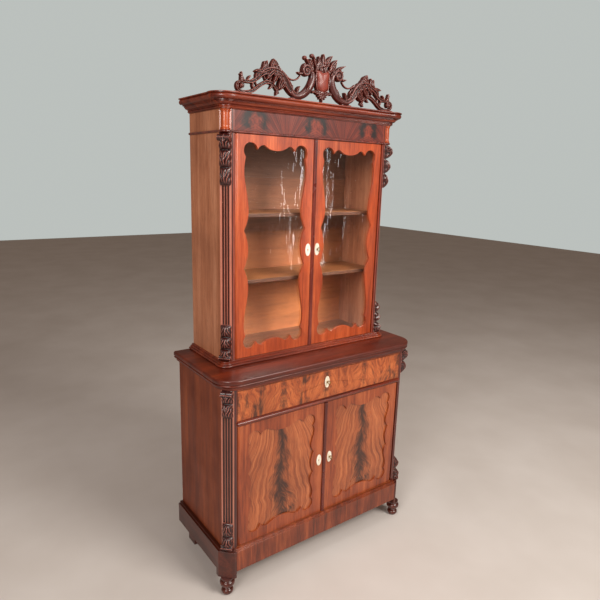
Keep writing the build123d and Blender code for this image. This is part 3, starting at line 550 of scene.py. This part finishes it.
def dress(names, material, bevel=0.0):
    """Gives CAD nodes a material and, where asked, softened edges."""
    for name in names:
        node = nodes[name]
        node.data.materials.clear()
        node.data.materials.append(material)
        if bevel:
            weld = node.modifiers.new("weld", "WELD")
            weld.merge_threshold = 0.00002
            edge = node.modifiers.new("edge", "BEVEL")
            edge.width = bevel
            edge.segments = 2
            edge.limit_method = "ANGLE"
            edge.angle_limit = math.radians(SHARP_ANGLE)
            edge.harden_normals = True


def pair(case, kind):
    return [f"{case}_{hand}_{kind}" for hand in ("left", "right")]


dress(pair("upper", "door_frame"), woods["orange_mahogany"], 0.002)
dress(pair("lower", "door_frame"), woods["brown_mahogany"], 0.0022)
dress(["top_rail"], woods["brown_mahogany"], 0.0012)
dress(["drawer_rail"], woods["red_mahogany"])
dress(pair("upper", "pilaster"), upper_post_wood, 0.0008)
dress(pair("lower", "pilaster"), lower_post_wood, 0.0008)
dress(pair("upper", "side"), woods["faded_mahogany"], 0.0008)
dress(pair("lower", "side"), woods["side_mahogany"], 0.0008)
dress(["plinth_front"], woods["plinth_veneer"], 0.002)
dress(["plinth_left", "plinth_right"], woods["plinth_mahogany"], 0.002)
dress(["rear_feet"], woods["plinth_mahogany"], 0.0015)
dress(["drawer_front"], drawer_veneer, 0.0012)
dress(["frieze_board"], frieze_wood, 0.0006)
dress(["upper_back_boards"], inner_boards, 0.0006)
dress(["upper_bottom", "upper_top", "lower_bottom"], woods["inner_floor_wood"], 0.0006)
dress(["upper_shelf_low", "upper_shelf_high"], upper_shelf_wood, 0.002)
dress(["lower_shelf"], lower_shelf_wood, 0.002)
dress(["lower_back"], woods["back_softwood"], 0.0006)
dress(["drawer_runners", "drawer_sides", "drawer_back", "drawer_bottom"],
      woods["drawer_softwood"], 0.0006)
dress(["shelf_pegs"], woods["inner_side_wood"], 0.0006)
dress(["drawer_lock", "lower_door_lock", "upper_door_lock"], worn_brass, 0.0004)
dress(["door_pivots"], dull_iron)
dress([name for name in nodes if name.endswith("escutcheon")], bone_white, 0.0005)

for hand, panel in zip(("left", "right"), pair("lower", "door_panel")):
    reach = high(panel).z - low(panel).z
    figure = crotch_panel(f"{hand}_panel_flame", middle(panel).x, low(panel).z, reach, FLAME)
    dress([panel], figure, 0.0006)


# ---- Panes of old glass, very slightly wavy
def pane(node, body):
    start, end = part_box(node)
    wave = 0.00035
    front, rear = [], []
    places = [start.x + (end.x - start.x) * share for share in shares(24)]
    for z in (start.z + (end.z - start.z) * share for share in shares(64)):
        swells = [wave * noise.noise(Vector((x * 14, 0.3, z * 9))) for x in places]
        dips = [wave * noise.noise(Vector((x * 11, 4.7, z * 12))) for x in places]
        front.append([(x, start.y + wave + swell, z) for x, swell in zip(places, swells)])
        rear.append([(x, end.y - wave + dip, z) for x, dip in zip(places, dips)])
    shape = Shape()
    rows = [f + list(reversed(r)) for f, r in zip(front, rear)]
    shape.skin(rows)
    piece = add_piece(f"{node}_pane", shape, glass, body, [node], sharp=30)
    piece.visible_shadow = False


for door in ("upper_left_door", "upper_right_door"):
    pane(f"{door}_glass", door)


# ---- Mouldings that run round the front and both sides of a case
def ring(half, front_y, cut, out, breakout, steps=14):
    """A line round a case, out from it, with a round ear over each corner. Left rear to right rear."""
    right = []
    radius = cut / 2 + out + breakout
    if breakout > 0 and radius > breakout:
        spread = math.acos((radius - breakout) / radius)
        for share in shares(steps):
            turn = -math.pi / 2 - spread + (math.pi / 2 + 2 * spread) * share
            right.append((half - cut / 2 + radius * math.cos(turn),
                          front_y + cut / 2 + radius * math.sin(turn)))
    else:
        corner = cut + (2 - math.sqrt(2)) * out
        for share in shares(steps):
            right.append((half + out - corner * (1 - share), front_y - out + corner * share))
    right.append((half + out, back_y))
    return [(-x, y) for x, y in reversed(right)] + right


def arc(centre, radius, start, end, steps=8):
    """Points on an arc, with angles in degrees."""
    points = []
    for share in shares(steps):
        turn = math.radians(start + (end - start) * share)
        points.append((centre[0] + radius * math.cos(turn), centre[1] + radius * math.sin(turn)))
    return points


def cove(out, height, reach, rise, parts, steps):
    """Points on a hollow quarter that climbs outward, in parts of a half turn."""
    turns = [step * math.pi / parts for step in steps]
    return [(out + reach * math.sin(t), height + rise * (1 - math.cos(t))) for t in turns]


def scaled(points, base_z):
    """Millimetre profile points as metres above a level."""
    return [(out * MM, base_z + z * MM) for out, z in points]


def run_moulding(node, profile, breakout, wood):
    """Sweeps a closed profile of (out, height) round the upper case. Points inside it have no ear."""
    profile = scaled(profile, low(node).z)
    lines = [ring(*upper_case, out, breakout if out > 0 else 0) for out, z in profile]
    shape = Shape()
    shape.skin([
        [(*line[index], z) for line, (out, z) in zip(lines, profile)]
        for index in range(len(lines[0]))
    ])
    add_piece(f"{node}_run", shape, woods[wood], "case", [node], sharp=32)


cornice_height = (cornice_top - low("cornice").z) / MM
cornice_wall = -22
cornice_profile = (
    [(cornice_wall, 0), (4, 0), (4, 2)]
    + arc((5, 5), 3, -80, 80, 6)
    + [(8, 9), (8, 11)]
    + cove(12, 13, 8, 8, 16, range(8))
    + [(23, 21), (23, 24), (28, 24), (28, 27)]
    + [(29, 28), (33, 29)]
    + arc((33, 37), 9.5, -75, 60, 9)
    + [(41, 46), (44, 47), (44, cornice_height - 1)]
    + [(43, cornice_height), (cornice_wall, cornice_height)]
)
run_moulding("cornice", cornice_profile, 5 * MM, "cornice_mahogany")

base_height = (upper_floor_z - table_top_z) / MM
base_profile = (
    [(-1, 0), (19, 0)] + arc((18.5, 4.5), 3.5, -70, 70, 8) + [(18.5, 8.4), (15, 8.6), (15, 10)]
    + arc((13.5, 12.2), 2.2, -60, 70, 6) + [(11, 14.6), (11, 16)]
    + [(8, 16.4), (8, 18)] + arc((6.5, 19.8), 1.9, -40, 80, 5)
    + [(-1, base_height)]
)
run_moulding("base_moulding", base_profile, 3 * MM, "red_mahogany")

bead_height = (high("astragal").z - low("astragal").z) / MM
bead_radius = bead_height / 2
astragal_profile = [(-1, 0)] + arc((1.5, bead_radius), bead_radius, -80, 80, 9) + [(-1, bead_height)]
run_moulding("astragal", astragal_profile, 0.8 * MM, "dark_red_mahogany")


def table_line(out, corner_radius):
    """The table's outline, out from the case, with round front corners. Left rear to right rear."""
    half, front_y, cut = lower_case
    corner = cut + (2 - math.sqrt(2)) * TABLE_OVERHANG
    tangent = corner_radius * math.tan(math.pi / 8)
    edge_x, edge_y = half + TABLE_OVERHANG, front_y - TABLE_OVERHANG
    inset = TABLE_OVERHANG - out
    right = []
    for centre_x, centre_y, start in (
        (edge_x - corner - tangent, edge_y + corner_radius, -90),
        (edge_x - corner_radius, edge_y + corner + tangent, -45),
    ):
        for share in shares(8):
            turn = math.radians(start + 45 * share)
            reach = corner_radius - inset
            right.append((centre_x + reach * math.cos(turn), centre_y + reach * math.sin(turn)))
    right.append((edge_x - inset, back_y))
    return [(-x, y) for x, y in reversed(right)] + right


def moulded_table():
    """The table: a flat top with a rounded nosing, a groove, a bead and a cove under it."""
    base_z = low("table_top").z
    thickness = (table_top_z - base_z) / MM
    turns = [step * math.pi / 12 for step in range(1, 6)]
    profile = (
        [(11, 0), (12, 0.5), (12, 4)]
        + [(12 + 7 * (1 - math.cos(t)), 4 + 8 * math.sin(t)) for t in turns]
        + [(18.5, 13)] + arc((19, 17.5), 4.2, -75, 75, 8) + [(20, 22.6), (20, 23.8), (22.6, 24.2)]
        + [(23.4, 25.4), (23.8, 28), (23.8, thickness - 9)]
        + arc((16.8, thickness - 7), 7, 5, 90, 8)
    )
    rows = []
    for out, z in scaled(profile, base_z):
        rows.append([(x, y, z) for x, y in table_line(out, TABLE_CORNER_RADIUS)])
    shape = Shape()
    shape.skin(rows)
    add_piece("moulded_table_top", shape, woods["table_mahogany"], "case",
              ["table_top"], sharp=32)


moulded_table()


# ---- Turned pieces: front feet, and half columns beside the frieze
def turned(name, node, wood, centres, profile):
    shape = Shape()
    for centre in centres:
        shape.lathe(centre, scaled(profile, 0))
    add_piece(name, shape, woods[wood], "case", [node], sharp=50)


def turned_feet():
    start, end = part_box("front_feet")
    top = (end.z - start.z) / MM
    profile = (
        [(0.5, 0), (16, 0), (18.5, 1.5)]
        + arc((12, 13), 12, -60, 60, 12)
        + [(16.5, 24), (15, 25.5), (14, 27.5), (14, 30), (16, 32)]
        + arc((18, 34.5), 2.5, -70, 80, 6)
        + [(20.5, 38)]
        + arc((17.5, 49), 12.5, -62, 62, 14)
        + [(21.5, 61.5), (21, 64), (24, 65.5), (25, 67), (25, top), (0.5, top)]
    )
    centre_y = (start.y + end.y) / 2
    half_width = 30 * MM
    centres = [(x, centre_y, 0) for x in (start.x + half_width, end.x - half_width)]
    turned("turned_front_feet", "front_feet", "foot_mahogany", centres, profile)


def corner_middle(case, side):
    half, front_y, cut = case
    return Vector((side * (half - cut / 2), front_y + cut / 2, 0))


def frieze_columns():
    start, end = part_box("frieze_columns")
    height = (end.z - start.z) / MM
    profile = (
        [(0.5, 0), (18, 0)] + arc((16.5, 2.4), 2.2, -60, 80, 5) + [(16.2, 5)]
        + arc((16, 6.3), 1.2, -60, 80, 4) + [(15.2, 9)]
        + [(15.2 + 0.5 * math.sin(math.pi * t / 8), 9 + (height - 20) * t / 8) for t in range(1, 8)]
        + [(15.4, height - 11)] + arc((16, height - 8.6), 1.6, -70, 80, 5)
        + arc((16.6, height - 4), 2.4, -70, 80, 6) + [(18, height), (0.5, height)]
    )
    centres = [corner_middle(upper_case, side) + Vector((0, 0, start.z)) for side in (-1, 1)]
    turned("turned_frieze_columns", "frieze_columns", "column_mahogany", centres, profile)


turned_feet()
frieze_columns()


# ---- Closing strips: reeded mouldings down the middle
def closing_strip(node, body, material):
    start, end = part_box(node)
    half_width = (end.x - start.x) / 2
    rows = []
    for z in (start.z, end.z):
        row = []
        for share in (2 * step - 1 for step in shares(28)):
            crown = math.sqrt(max(0.0, 1 - share * share)) ** 0.6
            reed = 0.8 + 0.2 * math.cos(share * 3 * math.pi)
            depth = (end.y - start.y) * crown * reed
            row.append((share * half_width, end.y - depth, z))
        rows.append(row)
    shape = Shape()
    shape.skin(rows)
    add_piece(f"{node}_reeded", shape, material, body, [node], sharp=70)


closing_strip("upper_closing_strip", "upper_right_door", woods["strip_mahogany"])
closing_strip("lower_closing_strip", "lower_right_door", woods["dark_red_mahogany"])


# ---- Keys: ring bow, collars, shank and bit
BOW_RADIUS, BOW_WIRE = 0.0072, 0.0016
BIT_HALF_WIDTH, BIT_DROP, BIT_LENGTH, BIT_END = 0.0009, 0.0056, 0.004, 0.0004


def key_piece(key):
    start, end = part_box(key)
    x = (start.x + end.x) / 2
    bow_y = start.y + BOW_RADIUS + BOW_WIRE
    joint = next(j for j in frame["joints"] if j["child"] == key)
    z = joint["pos_m"][2]
    shape = Shape()
    rows = []
    for index in range(40):
        turn = 2 * math.pi * index / 40
        outward = Vector((0, math.cos(turn), math.sin(turn)))
        centre = Vector((x, bow_y, z)) + outward * BOW_RADIUS
        rows.append([
            centre + outward * BOW_WIRE * math.cos(a) + Vector((BOW_WIRE * math.sin(a), 0, 0))
            for a in (2 * math.pi * k / 12 for k in range(12))
        ])
    rows.append(rows[0])
    shape.grid(rows, wrap=True)
    neck = bow_y + BOW_RADIUS
    collars = ((0.0001, -0.001), (0.0022, -0.001), (0.003, 0.0006), (0.003, 0.0016),
               (0.0022, 0.0028), (0.0030, 0.0036), (0.0022, 0.0046))
    profile = [(radius, neck + past) for radius, past in collars] + [(0.0021, end.y), (0.0001, end.y)]
    shape.lathe((x, 0, z), profile, axis="y", steps=24)
    left, right = x - BIT_HALF_WIDTH, x + BIT_HALF_WIDTH
    front, rear = end.y - BIT_LENGTH, end.y - BIT_END
    shape.skin([
        [(left, front, level), (right, front, level), (right, rear, level), (left, rear, level)]
        for level in (z - BIT_DROP, z)
    ])
    add_piece(f"{key}_forged", shape, worn_brass, key, [key], sharp=45)


for key in ("drawer_key", "lower_door_key", "upper_door_key"):
    key_piece(key)


# ---- Carved consoles: a scroll over tiers of acanthus
def console(shape, origin, outward, height, reach, width, tiers, scroll_up):
    """One console against the plane at origin, whose foot is at origin's height."""
    along = Vector((-outward.y, outward.x, 0))
    rows = []
    for share in shares(26 * tiers):
        t = 1 - share if scroll_up else share
        tier = min(int(t * tiers), tiers - 1)
        inner = t * tiers - tier
        size = 1 - 0.22 * tier
        swell = math.sin(math.pi * min(1.0, inner * 1.04)) ** 0.7
        body = reach * (0.22 + 0.78 * size * swell)
        spread = 0.80 + 0.2 * abs(math.cos(inner * 2.5 * math.pi)) * size
        row = []
        for u in (2 * step - 1 for step in shares(22)):
            dome = max(0.0, 1 - abs(u) ** 2.6) ** 0.5
            rib = math.exp(-((u / 0.13) ** 2))
            veins = 0.5 + 0.5 * math.cos(2 * math.pi * (2.2 * abs(u) + 2.2 * inner))
            lobe = 1 - 0.32 * veins * (1 - rib) * swell
            depth = body * dome * lobe + reach * 0.10 * rib * swell
            point = origin + along * (u * width / 2 * spread) + outward * max(depth, 0.0004)
            row.append(point + Vector((0, 0, height * share)))
        rear = origin + Vector((0, 0, height * share)) - outward * MM
        row.append(rear + along * (width / 2 * spread))
        row.append(rear - along * (width / 2 * spread))
        rows.append(row)
    shape.skin(rows)


def scroll_eye(shape, origin, outward, centre_out, centre_z, radius, width):
    """The rolled volute of a console, seen from both sides as a spiral."""
    along = Vector((-outward.y, outward.x, 0))
    rows = []
    for share in shares(40):
        turn = -2.6 * math.pi * share
        distance = radius * (1 - 0.78 * share)
        bar = max(0.0012, 0.0038 * (1 - 0.5 * share))
        toward = outward * math.cos(turn) + Vector((0, 0, math.sin(turn)))
        centre = origin + outward * centre_out + Vector((0, 0, centre_z)) + toward * distance
        aside = along * (width / 2 * (1.0 + 0.06 * share))
        rows.append([
            centre - aside - toward * bar, centre - aside + toward * bar,
            centre + aside + toward * bar, centre + aside - toward * bar,
        ])
    shape.skin(rows)


def consoles(node, case, bottom, top, width):
    start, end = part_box(node)
    shape = Shape()
    for side in (-1, 1):
        outward = Vector((side * DIAGONAL, -DIAGONAL, 0))
        foot = corner_middle(case, side)
        for (height, reach, tiers), scroll_up in ((bottom, False), (top, True)):
            z = end.z - height if scroll_up else start.z
            origin = foot + Vector((0, 0, z))
            console(shape, origin, outward, height, reach, width, tiers, scroll_up)
            eye = reach * 0.42
            eye_z = height - eye * 1.15 if scroll_up else eye * 1.15
            scroll_eye(shape, origin, outward, reach - eye * 1.1, eye_z, eye * 0.82, width * 0.97)
    piece = add_piece(f"{node}_carved", shape, carving, "case", [node])
    fuse(piece, CARVING_VOXEL)


# Node, case, then height, reach and tiers at the bottom and at the top, and the width
consoles("lower_consoles", lower_case, (0.108, 0.027, 2), (0.112, 0.027, 2), 0.046)
consoles("upper_consoles", upper_case, (0.140, 0.030, 3), (0.182, 0.034, 3), 0.048)


# ---- Crest: pierced carving of scrolls and leaves round a shield
SCROLL_SECTION = ((-1, 0), (-1, 0.55), (-0.86, 0.9), (-0.62, 1), (-0.36, 0.8), (0, 0.66),
                  (0.36, 0.8), (0.62, 1), (0.86, 0.9), (1, 0.55), (1, 0))
ROUND_TURNS = [math.pi * k / 10 for k in range(11)]
ROUND_SECTION = tuple((-math.cos(t), 0.35 + 0.65 * math.sin(t)) for t in ROUND_TURNS)
LEAF_SECTION = ((-1, 0.2), (-0.7, 0.75), (-0.35, 1), (0, 0.55), (0.35, 1), (0.7, 0.75), (1, 0.2))
crest_front_y, crest_back_y = low("crest").y, high("crest").y
crest_depth = crest_back_y - crest_front_y


def smooth_line(points, steps):
    """A Catmull-Rom curve through points of any number of coordinates."""
    line = []
    last = len(points) - 1
    for index in range(last):
        before, here = points[max(index - 1, 0)], points[index]
        there, after = points[index + 1], points[min(index + 2, last)]
        for step in range(steps):
            t = step / steps
            line.append(tuple(
                0.5 * (2 * b + (c - a) * t + (2 * a - 5 * b + 4 * c - d) * t * t
                       + (3 * b - a - 3 * c + d) * t * t * t)
                for a, b, c, d in zip(before, here, there, after)
            ))
    line.append(points[last])
    return line


def band(shape, line, section, depth, back=0.0):
    """Sweeps a carved section along a line of (x, height, width) in the crest's plane."""
    rows = []
    for index, (x, height, width) in enumerate(line):
        here = line[max(index - 1, 0)]
        there = line[min(index + 1, len(line) - 1)]
        heading = Vector((there[0] - here[0], there[1] - here[1])).normalized()
        across = Vector((-heading.y, heading.x))
        row = []
        for side, forward in section:
            offset = across * side * width / 2
            y = crest_back_y - back - depth * forward
            row.append(((x + offset.x) * MM, y, cornice_top + (height + offset.y) * MM))
        for side in (1, -1):
            offset = across * side * width / 2 * 0.9
            row.append(((x + offset.x) * MM, crest_back_y - back, cornice_top + (height + offset.y) * MM))
        rows.append(row)
    shape.skin(rows)


def spiral(centre, radius, start, turns, widths):
    """Points of a volute that winds in from its outer end, with angles in degrees."""
    points = []
    for share in shares(int(14 * abs(turns)) + 4):
        turn = math.radians(start + 360 * turns * share)
        reach = radius * (1 - share) ** 0.8 + 2.0 * share
        width = widths[0] + (widths[1] - widths[0]) * share
        points.append((centre[0] + reach * math.cos(turn), centre[1] + reach * math.sin(turn), width))
    return points


def leaf_line(x, height, length, width, angle, bend=0):
    """A leaf's midrib, bent by bend degrees over its length, with the leaf's width along it."""
    count = 9
    points = []
    for share in shares(count):
        points.append((x, height, max(0.8, width * math.sin(math.pi * (0.12 + 0.86 * share)) ** 0.8)))
        turn = math.radians(angle + bend * share)
        x += length / count * math.cos(turn)
        height += length / count * math.sin(turn)
    return points


def mirrored(line, side):
    return [(side * x, height, width) for x, height, width in line]


def crest_scrolls(full):
    """The right-hand half's scrolls: (line, section, depth). The first ones lie deepest."""
    low_arch = smooth_line([(352, 6, 9), (328, 6, 12), (302, 13, 13), (274, 33, 13), (246, 47, 13),
                            (222, 42, 11), (206, 27, 10), (198, 12, 8)], 6)
    branch = smooth_line([(354, 43, 6), (336, 40, 10), (312, 41, 12), (292, 50, 14), (272, 66, 16)], 6)
    great = smooth_line([(286, 56, 13), (268, 72, 19), (246, 83, 24), (218, 86, 30), (190, 78, 35),
                         (170, 60, 33), (154, 38, 28), (136, 21, 22), (112, 13, 15)], 7)
    inner = smooth_line([(146, 24, 10), (128, 13, 18), (108, 14, 24), (86, 23, 29), (66, 40, 31),
                         (52, 62, 31), (46, 84, 28), (51, 104, 20)], 7)
    tendril = smooth_line([(166, 84, 5), (150, 72, 6), (130, 68, 6), (112, 74, 6), (98, 88, 5)], 5)
    curl = smooth_line([(152, 66, 4), (140, 52, 6), (139, 34, 6), (148, 18, 5)], 5)
    links = [[(296, 50, 8), (290, 38, 7), (280, 28, 6)], [(262, 76, 8), (255, 60, 7), (246, 46, 6)]]
    return [
        (low_arch, SCROLL_SECTION, full * 0.75),
        (branch, SCROLL_SECTION, full * 0.8),
        (great, SCROLL_SECTION, full * 0.92),
        (inner, ROUND_SECTION, full * 0.98),
        (spiral((352, 24), 18, -95, 1.3, (10, 4)), SCROLL_SECTION, full * 0.85),
        (spiral((77, 104), 21, 178, -1.6, (15, 6)), ROUND_SECTION, full),
        (tendril, ROUND_SECTION, full * 0.5),
        (curl, ROUND_SECTION, full * 0.6),
        *((smooth_line(link, 4), ROUND_SECTION, full * 0.6) for link in links),
    ]


# Leaves on the right-hand half: root x and height, length, width, angle, bend, share of the depth
CREST_LEAVES = (
    (352, 38, 32, 13, 110, -35, 0.7), (340, 42, 26, 11, 60, -20, 0.7), (326, 44, 22, 10, 120, 20, 0.7),
    (292, 56, 24, 13, 100, 30, 0.7), (274, 72, 32, 15, 128, -30, 0.72), (262, 80, 34, 16, 104, -25, 0.76),
    (246, 88, 30, 16, 80, 20, 0.7), (232, 92, 32, 17, 118, -35, 0.76), (216, 94, 34, 18, 92, -30, 0.8),
    (200, 92, 36, 18, 74, -30, 0.8), (188, 86, 38, 20, 50, -30, 0.84), (180, 74, 36, 19, 26, -25, 0.8),
    (172, 60, 28, 16, 4, 25, 0.76), (164, 48, 24, 14, -24, 40, 0.7),
    (236, 90, 46, 19, -14, -30, 1.0), (216, 88, 48, 20, -32, -26, 1.0), (200, 80, 46, 20, -50, -20, 1.0),
    (184, 68, 44, 19, -60, -16, 1.0), (172, 54, 38, 17, -58, 16, 0.98), (260, 78, 40, 16, 10, -30, 0.98),
    (222, 42, 24, 12, -60, 30, 0.7), (204, 28, 24, 11, -90, 30, 0.74),
    (236, 48, 22, 11, 100, 30, 0.7), (96, 114, 22, 12, 140, -30, 0.7),
    (96, 94, 22, 11, -10, 40, 0.7), (136, 18, 32, 14, 66, 40, 0.86), (118, 22, 30, 14, 95, 40, 0.9),
    (300, 18, 24, 11, 60, 30, 0.7), (84, 26, 34, 14, 132, -30, 1.0),
)


def crest_piece():
    shape = Shape()
    full = crest_depth
    for side in (-1, 1):
        for line, section, depth in crest_scrolls(full):
            band(shape, mirrored(line, side), section, depth)
        for x, height, length, width, angle, bend, share in CREST_LEAVES:
            leaf = leaf_line(x, height, length, width, angle, bend)
            band(shape, mirrored(leaf, side), LEAF_SECTION, full * share, back=full * 0.1)
        for x, height, radius in ((352, 24, 7), (77, 103, 9)):
            ball(shape, side * x, height, radius, full)
        shoulder = smooth_line([(0, 37, 8), (14, 40, 8), (26, 50, 7), (30, 74, 6),
                                (31, 100, 6), (22, 118, 8)], 5)
        band(shape, mirrored(shoulder, side), ROUND_SECTION, full * 0.8)
        skirt = smooth_line([(2, 36, 12), (16, 32, 14), (32, 38, 13), (46, 34, 8)], 5)
        band(shape, mirrored(skirt, side), LEAF_SECTION, full * 0.75)
        for foot in ([(376, 2.5, 6), (340, 3, 8), (318, 2.5, 5)],
                     [(146, 3, 7), (122, 3.5, 9), (98, 3, 7)]):
            band(shape, mirrored(foot, side), ROUND_SECTION, full * 0.8)
    bouquet(shape, full)
    pendant(shape, full)
    piece = add_piece("crest_carving", shape, crest_wood, "case", ["crest"])
    fuse(piece, CREST_VOXEL)


def ball(shape, x, height, radius, depth):
    """A rounded boss on the crest's face."""
    centre = (x * MM, crest_back_y, cornice_top + height * MM)
    profile = [(radius * MM, 0)]
    for turn in (math.pi / 2 * share for share in shares(6)):
        reach = max(0.3, radius * math.cos(turn)) * MM
        profile.append((reach, -depth * (0.5 + 0.5 * math.sin(turn))))
    shape.lathe(centre, profile, axis="y", steps=24)


def bouquet(shape, full):
    """Flowers and leaves over the shield."""
    petals = 7
    for x, height, radius in ((14, 142, 12), (-20, 132, 9), (42, 128, 9)):
        ball(shape, x, height, radius * 0.45, full)
        for index in range(petals):
            angle = 360 * index / petals + 12
            petal = leaf_line(x, height, radius * 1.35, radius * 0.95, angle, 25)
            band(shape, petal, LEAF_SECTION, full * 0.86)
    leaves = (
        (-46, 112, 52, 15, 130, 12), (-50, 118, 34, 16, 100, 30), (-28, 118, 46, 15, 116, -12),
        (-14, 124, 40, 20, 96, 14), (2, 128, 46, 22, 84, 20), (20, 132, 46, 22, 76, -34),
        (34, 126, 48, 18, 56, -20), (48, 118, 40, 17, 60, 20), (52, 112, 66, 15, 36, -14),
        (58, 106, 46, 14, 14, 20), (-62, 106, 36, 15, 155, 20), (-34, 106, 38, 18, 62, 30),
        (-10, 106, 36, 20, 80, 30), (12, 108, 36, 20, 100, -30), (28, 108, 38, 18, 60, -20),
        (-2, 104, 28, 18, 110, -20), (40, 104, 30, 16, 30, 20), (-44, 100, 30, 16, 120, 20),
    )
    for x, height, length, width, angle, bend in leaves:
        leaf = leaf_line(x, height, length, width, angle, bend)
        band(shape, leaf, LEAF_SECTION, full * 0.78, back=full * 0.08)
    for x, height in ((-82, 150), (-49, 161)):
        ball(shape, x, height, 7.5, full * 0.75)


def pendant(shape, full):
    """The leaf that hangs under the shield down to the cornice."""
    for aside, length in ((0, 36), (24, 30), (-24, 30), (46, 28), (-46, 28), (70, 30), (-70, 30)):
        band(shape, leaf_line(0, 40, length, 14, aside - 90), LEAF_SECTION, full * 0.85)
    band(shape, [(0, 22, 9), (0, 10, 7), (0, 0.5, 8)], ROUND_SECTION, full * 0.7)


def crest_shield():
    """The smooth, slightly domed shield in the middle of the crest."""
    right_side = smooth_line([(0, 40), (14, 44), (24, 56), (25, 78), (28, 100), (22, 112), (0, 106)], 5)
    outline = right_side + [(-x, height) for x, height in reversed(right_side[1:-1])]
    centre_height = 76
    rows = []
    for share, forward in ((1, 0.3), (1, 0.76), (0.9, 0.86), (0.7, 0.92), (0.4, 0.97), (0.05, 0.99)):
        y = crest_back_y - crest_depth * forward
        rows.append([
            (x * share * MM, y, cornice_top + (centre_height + (height - centre_height) * share) * MM)
            for x, height in outline
        ])
    shape = Shape()
    shape.skin(rows)
    add_piece("crest_shield", shape, woods["shield_mahogany"], "case", (), sharp=60)


crest_piece()
crest_shield()


# ---- Floor, light and camera
def floor():
    shape = Shape()
    reach = 12.0
    places = [reach * (2 * share - 1) for share in shares(24)]
    shape.grid([[(x, y, 0.0) for x in places] for y in places])
    mesh = bpy.data.meshes.new("floor")
    mesh.from_pydata(shape.points, [], shape.faces)
    graph = Graph("pale_floor")
    cloud = graph.noise(graph.place, scale=2, detail=3)
    colour = graph.ramp(cloud, ((0.3, tone(198, 190, 184)), (0.7, tone(208, 201, 196))))
    mesh.materials.append(graph.finish(colour, 0.6))
    plane = bpy.data.objects.new("floor", mesh)
    bpy.context.scene.collection.objects.link(plane)


def soft_light(name, place, aim, size, power, colour):
    lamp = bpy.data.lights.new(name, "AREA")
    lamp.shape = "RECTANGLE"
    lamp.size, lamp.size_y = size
    lamp.energy = power
    lamp.color = colour
    holder = bpy.data.objects.new(name, lamp)
    holder.location = place
    holder.rotation_euler = (Vector(aim) - Vector(place)).to_track_quat("-Z", "Y").to_euler()
    bpy.context.scene.collection.objects.link(holder)


def set_world(backdrop, fill):
    """A pale backdrop for the camera and a warm, dimmer fill for everything else."""
    world = bpy.data.worlds.new("studio")
    world.use_nodes = True
    tree = world.node_tree
    background = tree.nodes["Background"]
    rays = tree.nodes.new("ShaderNodeLightPath")
    choice = tree.nodes.new("ShaderNodeMix")
    choice.data_type = "RGBA"
    tree.links.new(rays.outputs["Is Camera Ray"], choice.inputs[0])
    choice.inputs[6].default_value = (*fill, 1)
    choice.inputs[7].default_value = (*backdrop, 1)
    tree.links.new(choice.outputs[2], background.inputs[0])
    bpy.context.scene.world = world


def set_camera():
    """The viewing angle: a standing person to the left of the bookcase's front."""
    yaw, pitch, roll = (math.radians(a) for a in CAMERA_TURN)
    level_right = Vector((math.cos(yaw), math.sin(yaw), 0))
    ahead = Vector((-math.sin(yaw), math.cos(yaw), 0))
    forward = ahead * math.cos(pitch) + Vector((0, 0, math.sin(pitch)))
    level_up = Vector((0, 0, math.cos(pitch))) - ahead * math.sin(pitch)
    right = level_right * math.cos(roll) + level_up * math.sin(roll)
    up = level_up * math.cos(roll) - level_right * math.sin(roll)
    lens = bpy.data.cameras.new("camera")
    lens.sensor_width = 36.0
    lens.lens = FOCAL_LENGTH
    holder = bpy.data.objects.new("camera", lens)
    turned = Matrix((right, up, -forward)).transposed().to_4x4()
    holder.matrix_world = Matrix.Translation(CAMERA_PLACE) @ turned
    bpy.context.scene.collection.objects.link(holder)
    bpy.context.scene.camera = holder


floor()
set_world((0.50, 0.53, 0.51), (0.20, 0.155, 0.125))
# Name, place, aim, size, watts and colour
soft_light("front_light", (1.1, -3.3, 3.1), (0, 0, 1.2), (1.8, 1.4), 150, (1.0, 0.95, 0.88))
soft_light("left_light", (-2.9, -1.9, 2.7), (0, 0, 1.3), (1.2, 1.4), 78, (1.0, 0.96, 0.92))
soft_light("top_light", (0.2, -0.6, 4.2), (0, 0, 0.9), (2.4, 1.6), 35, (1.0, 0.98, 0.95))
soft_light("strip_light", (2.3, -3.1, 1.35), (0, 0, 1.35), (0.08, 1.4), 3.0, (1.0, 1.0, 1.0))
set_camera()
bpy.context.scene.view_settings.view_transform = "Standard"
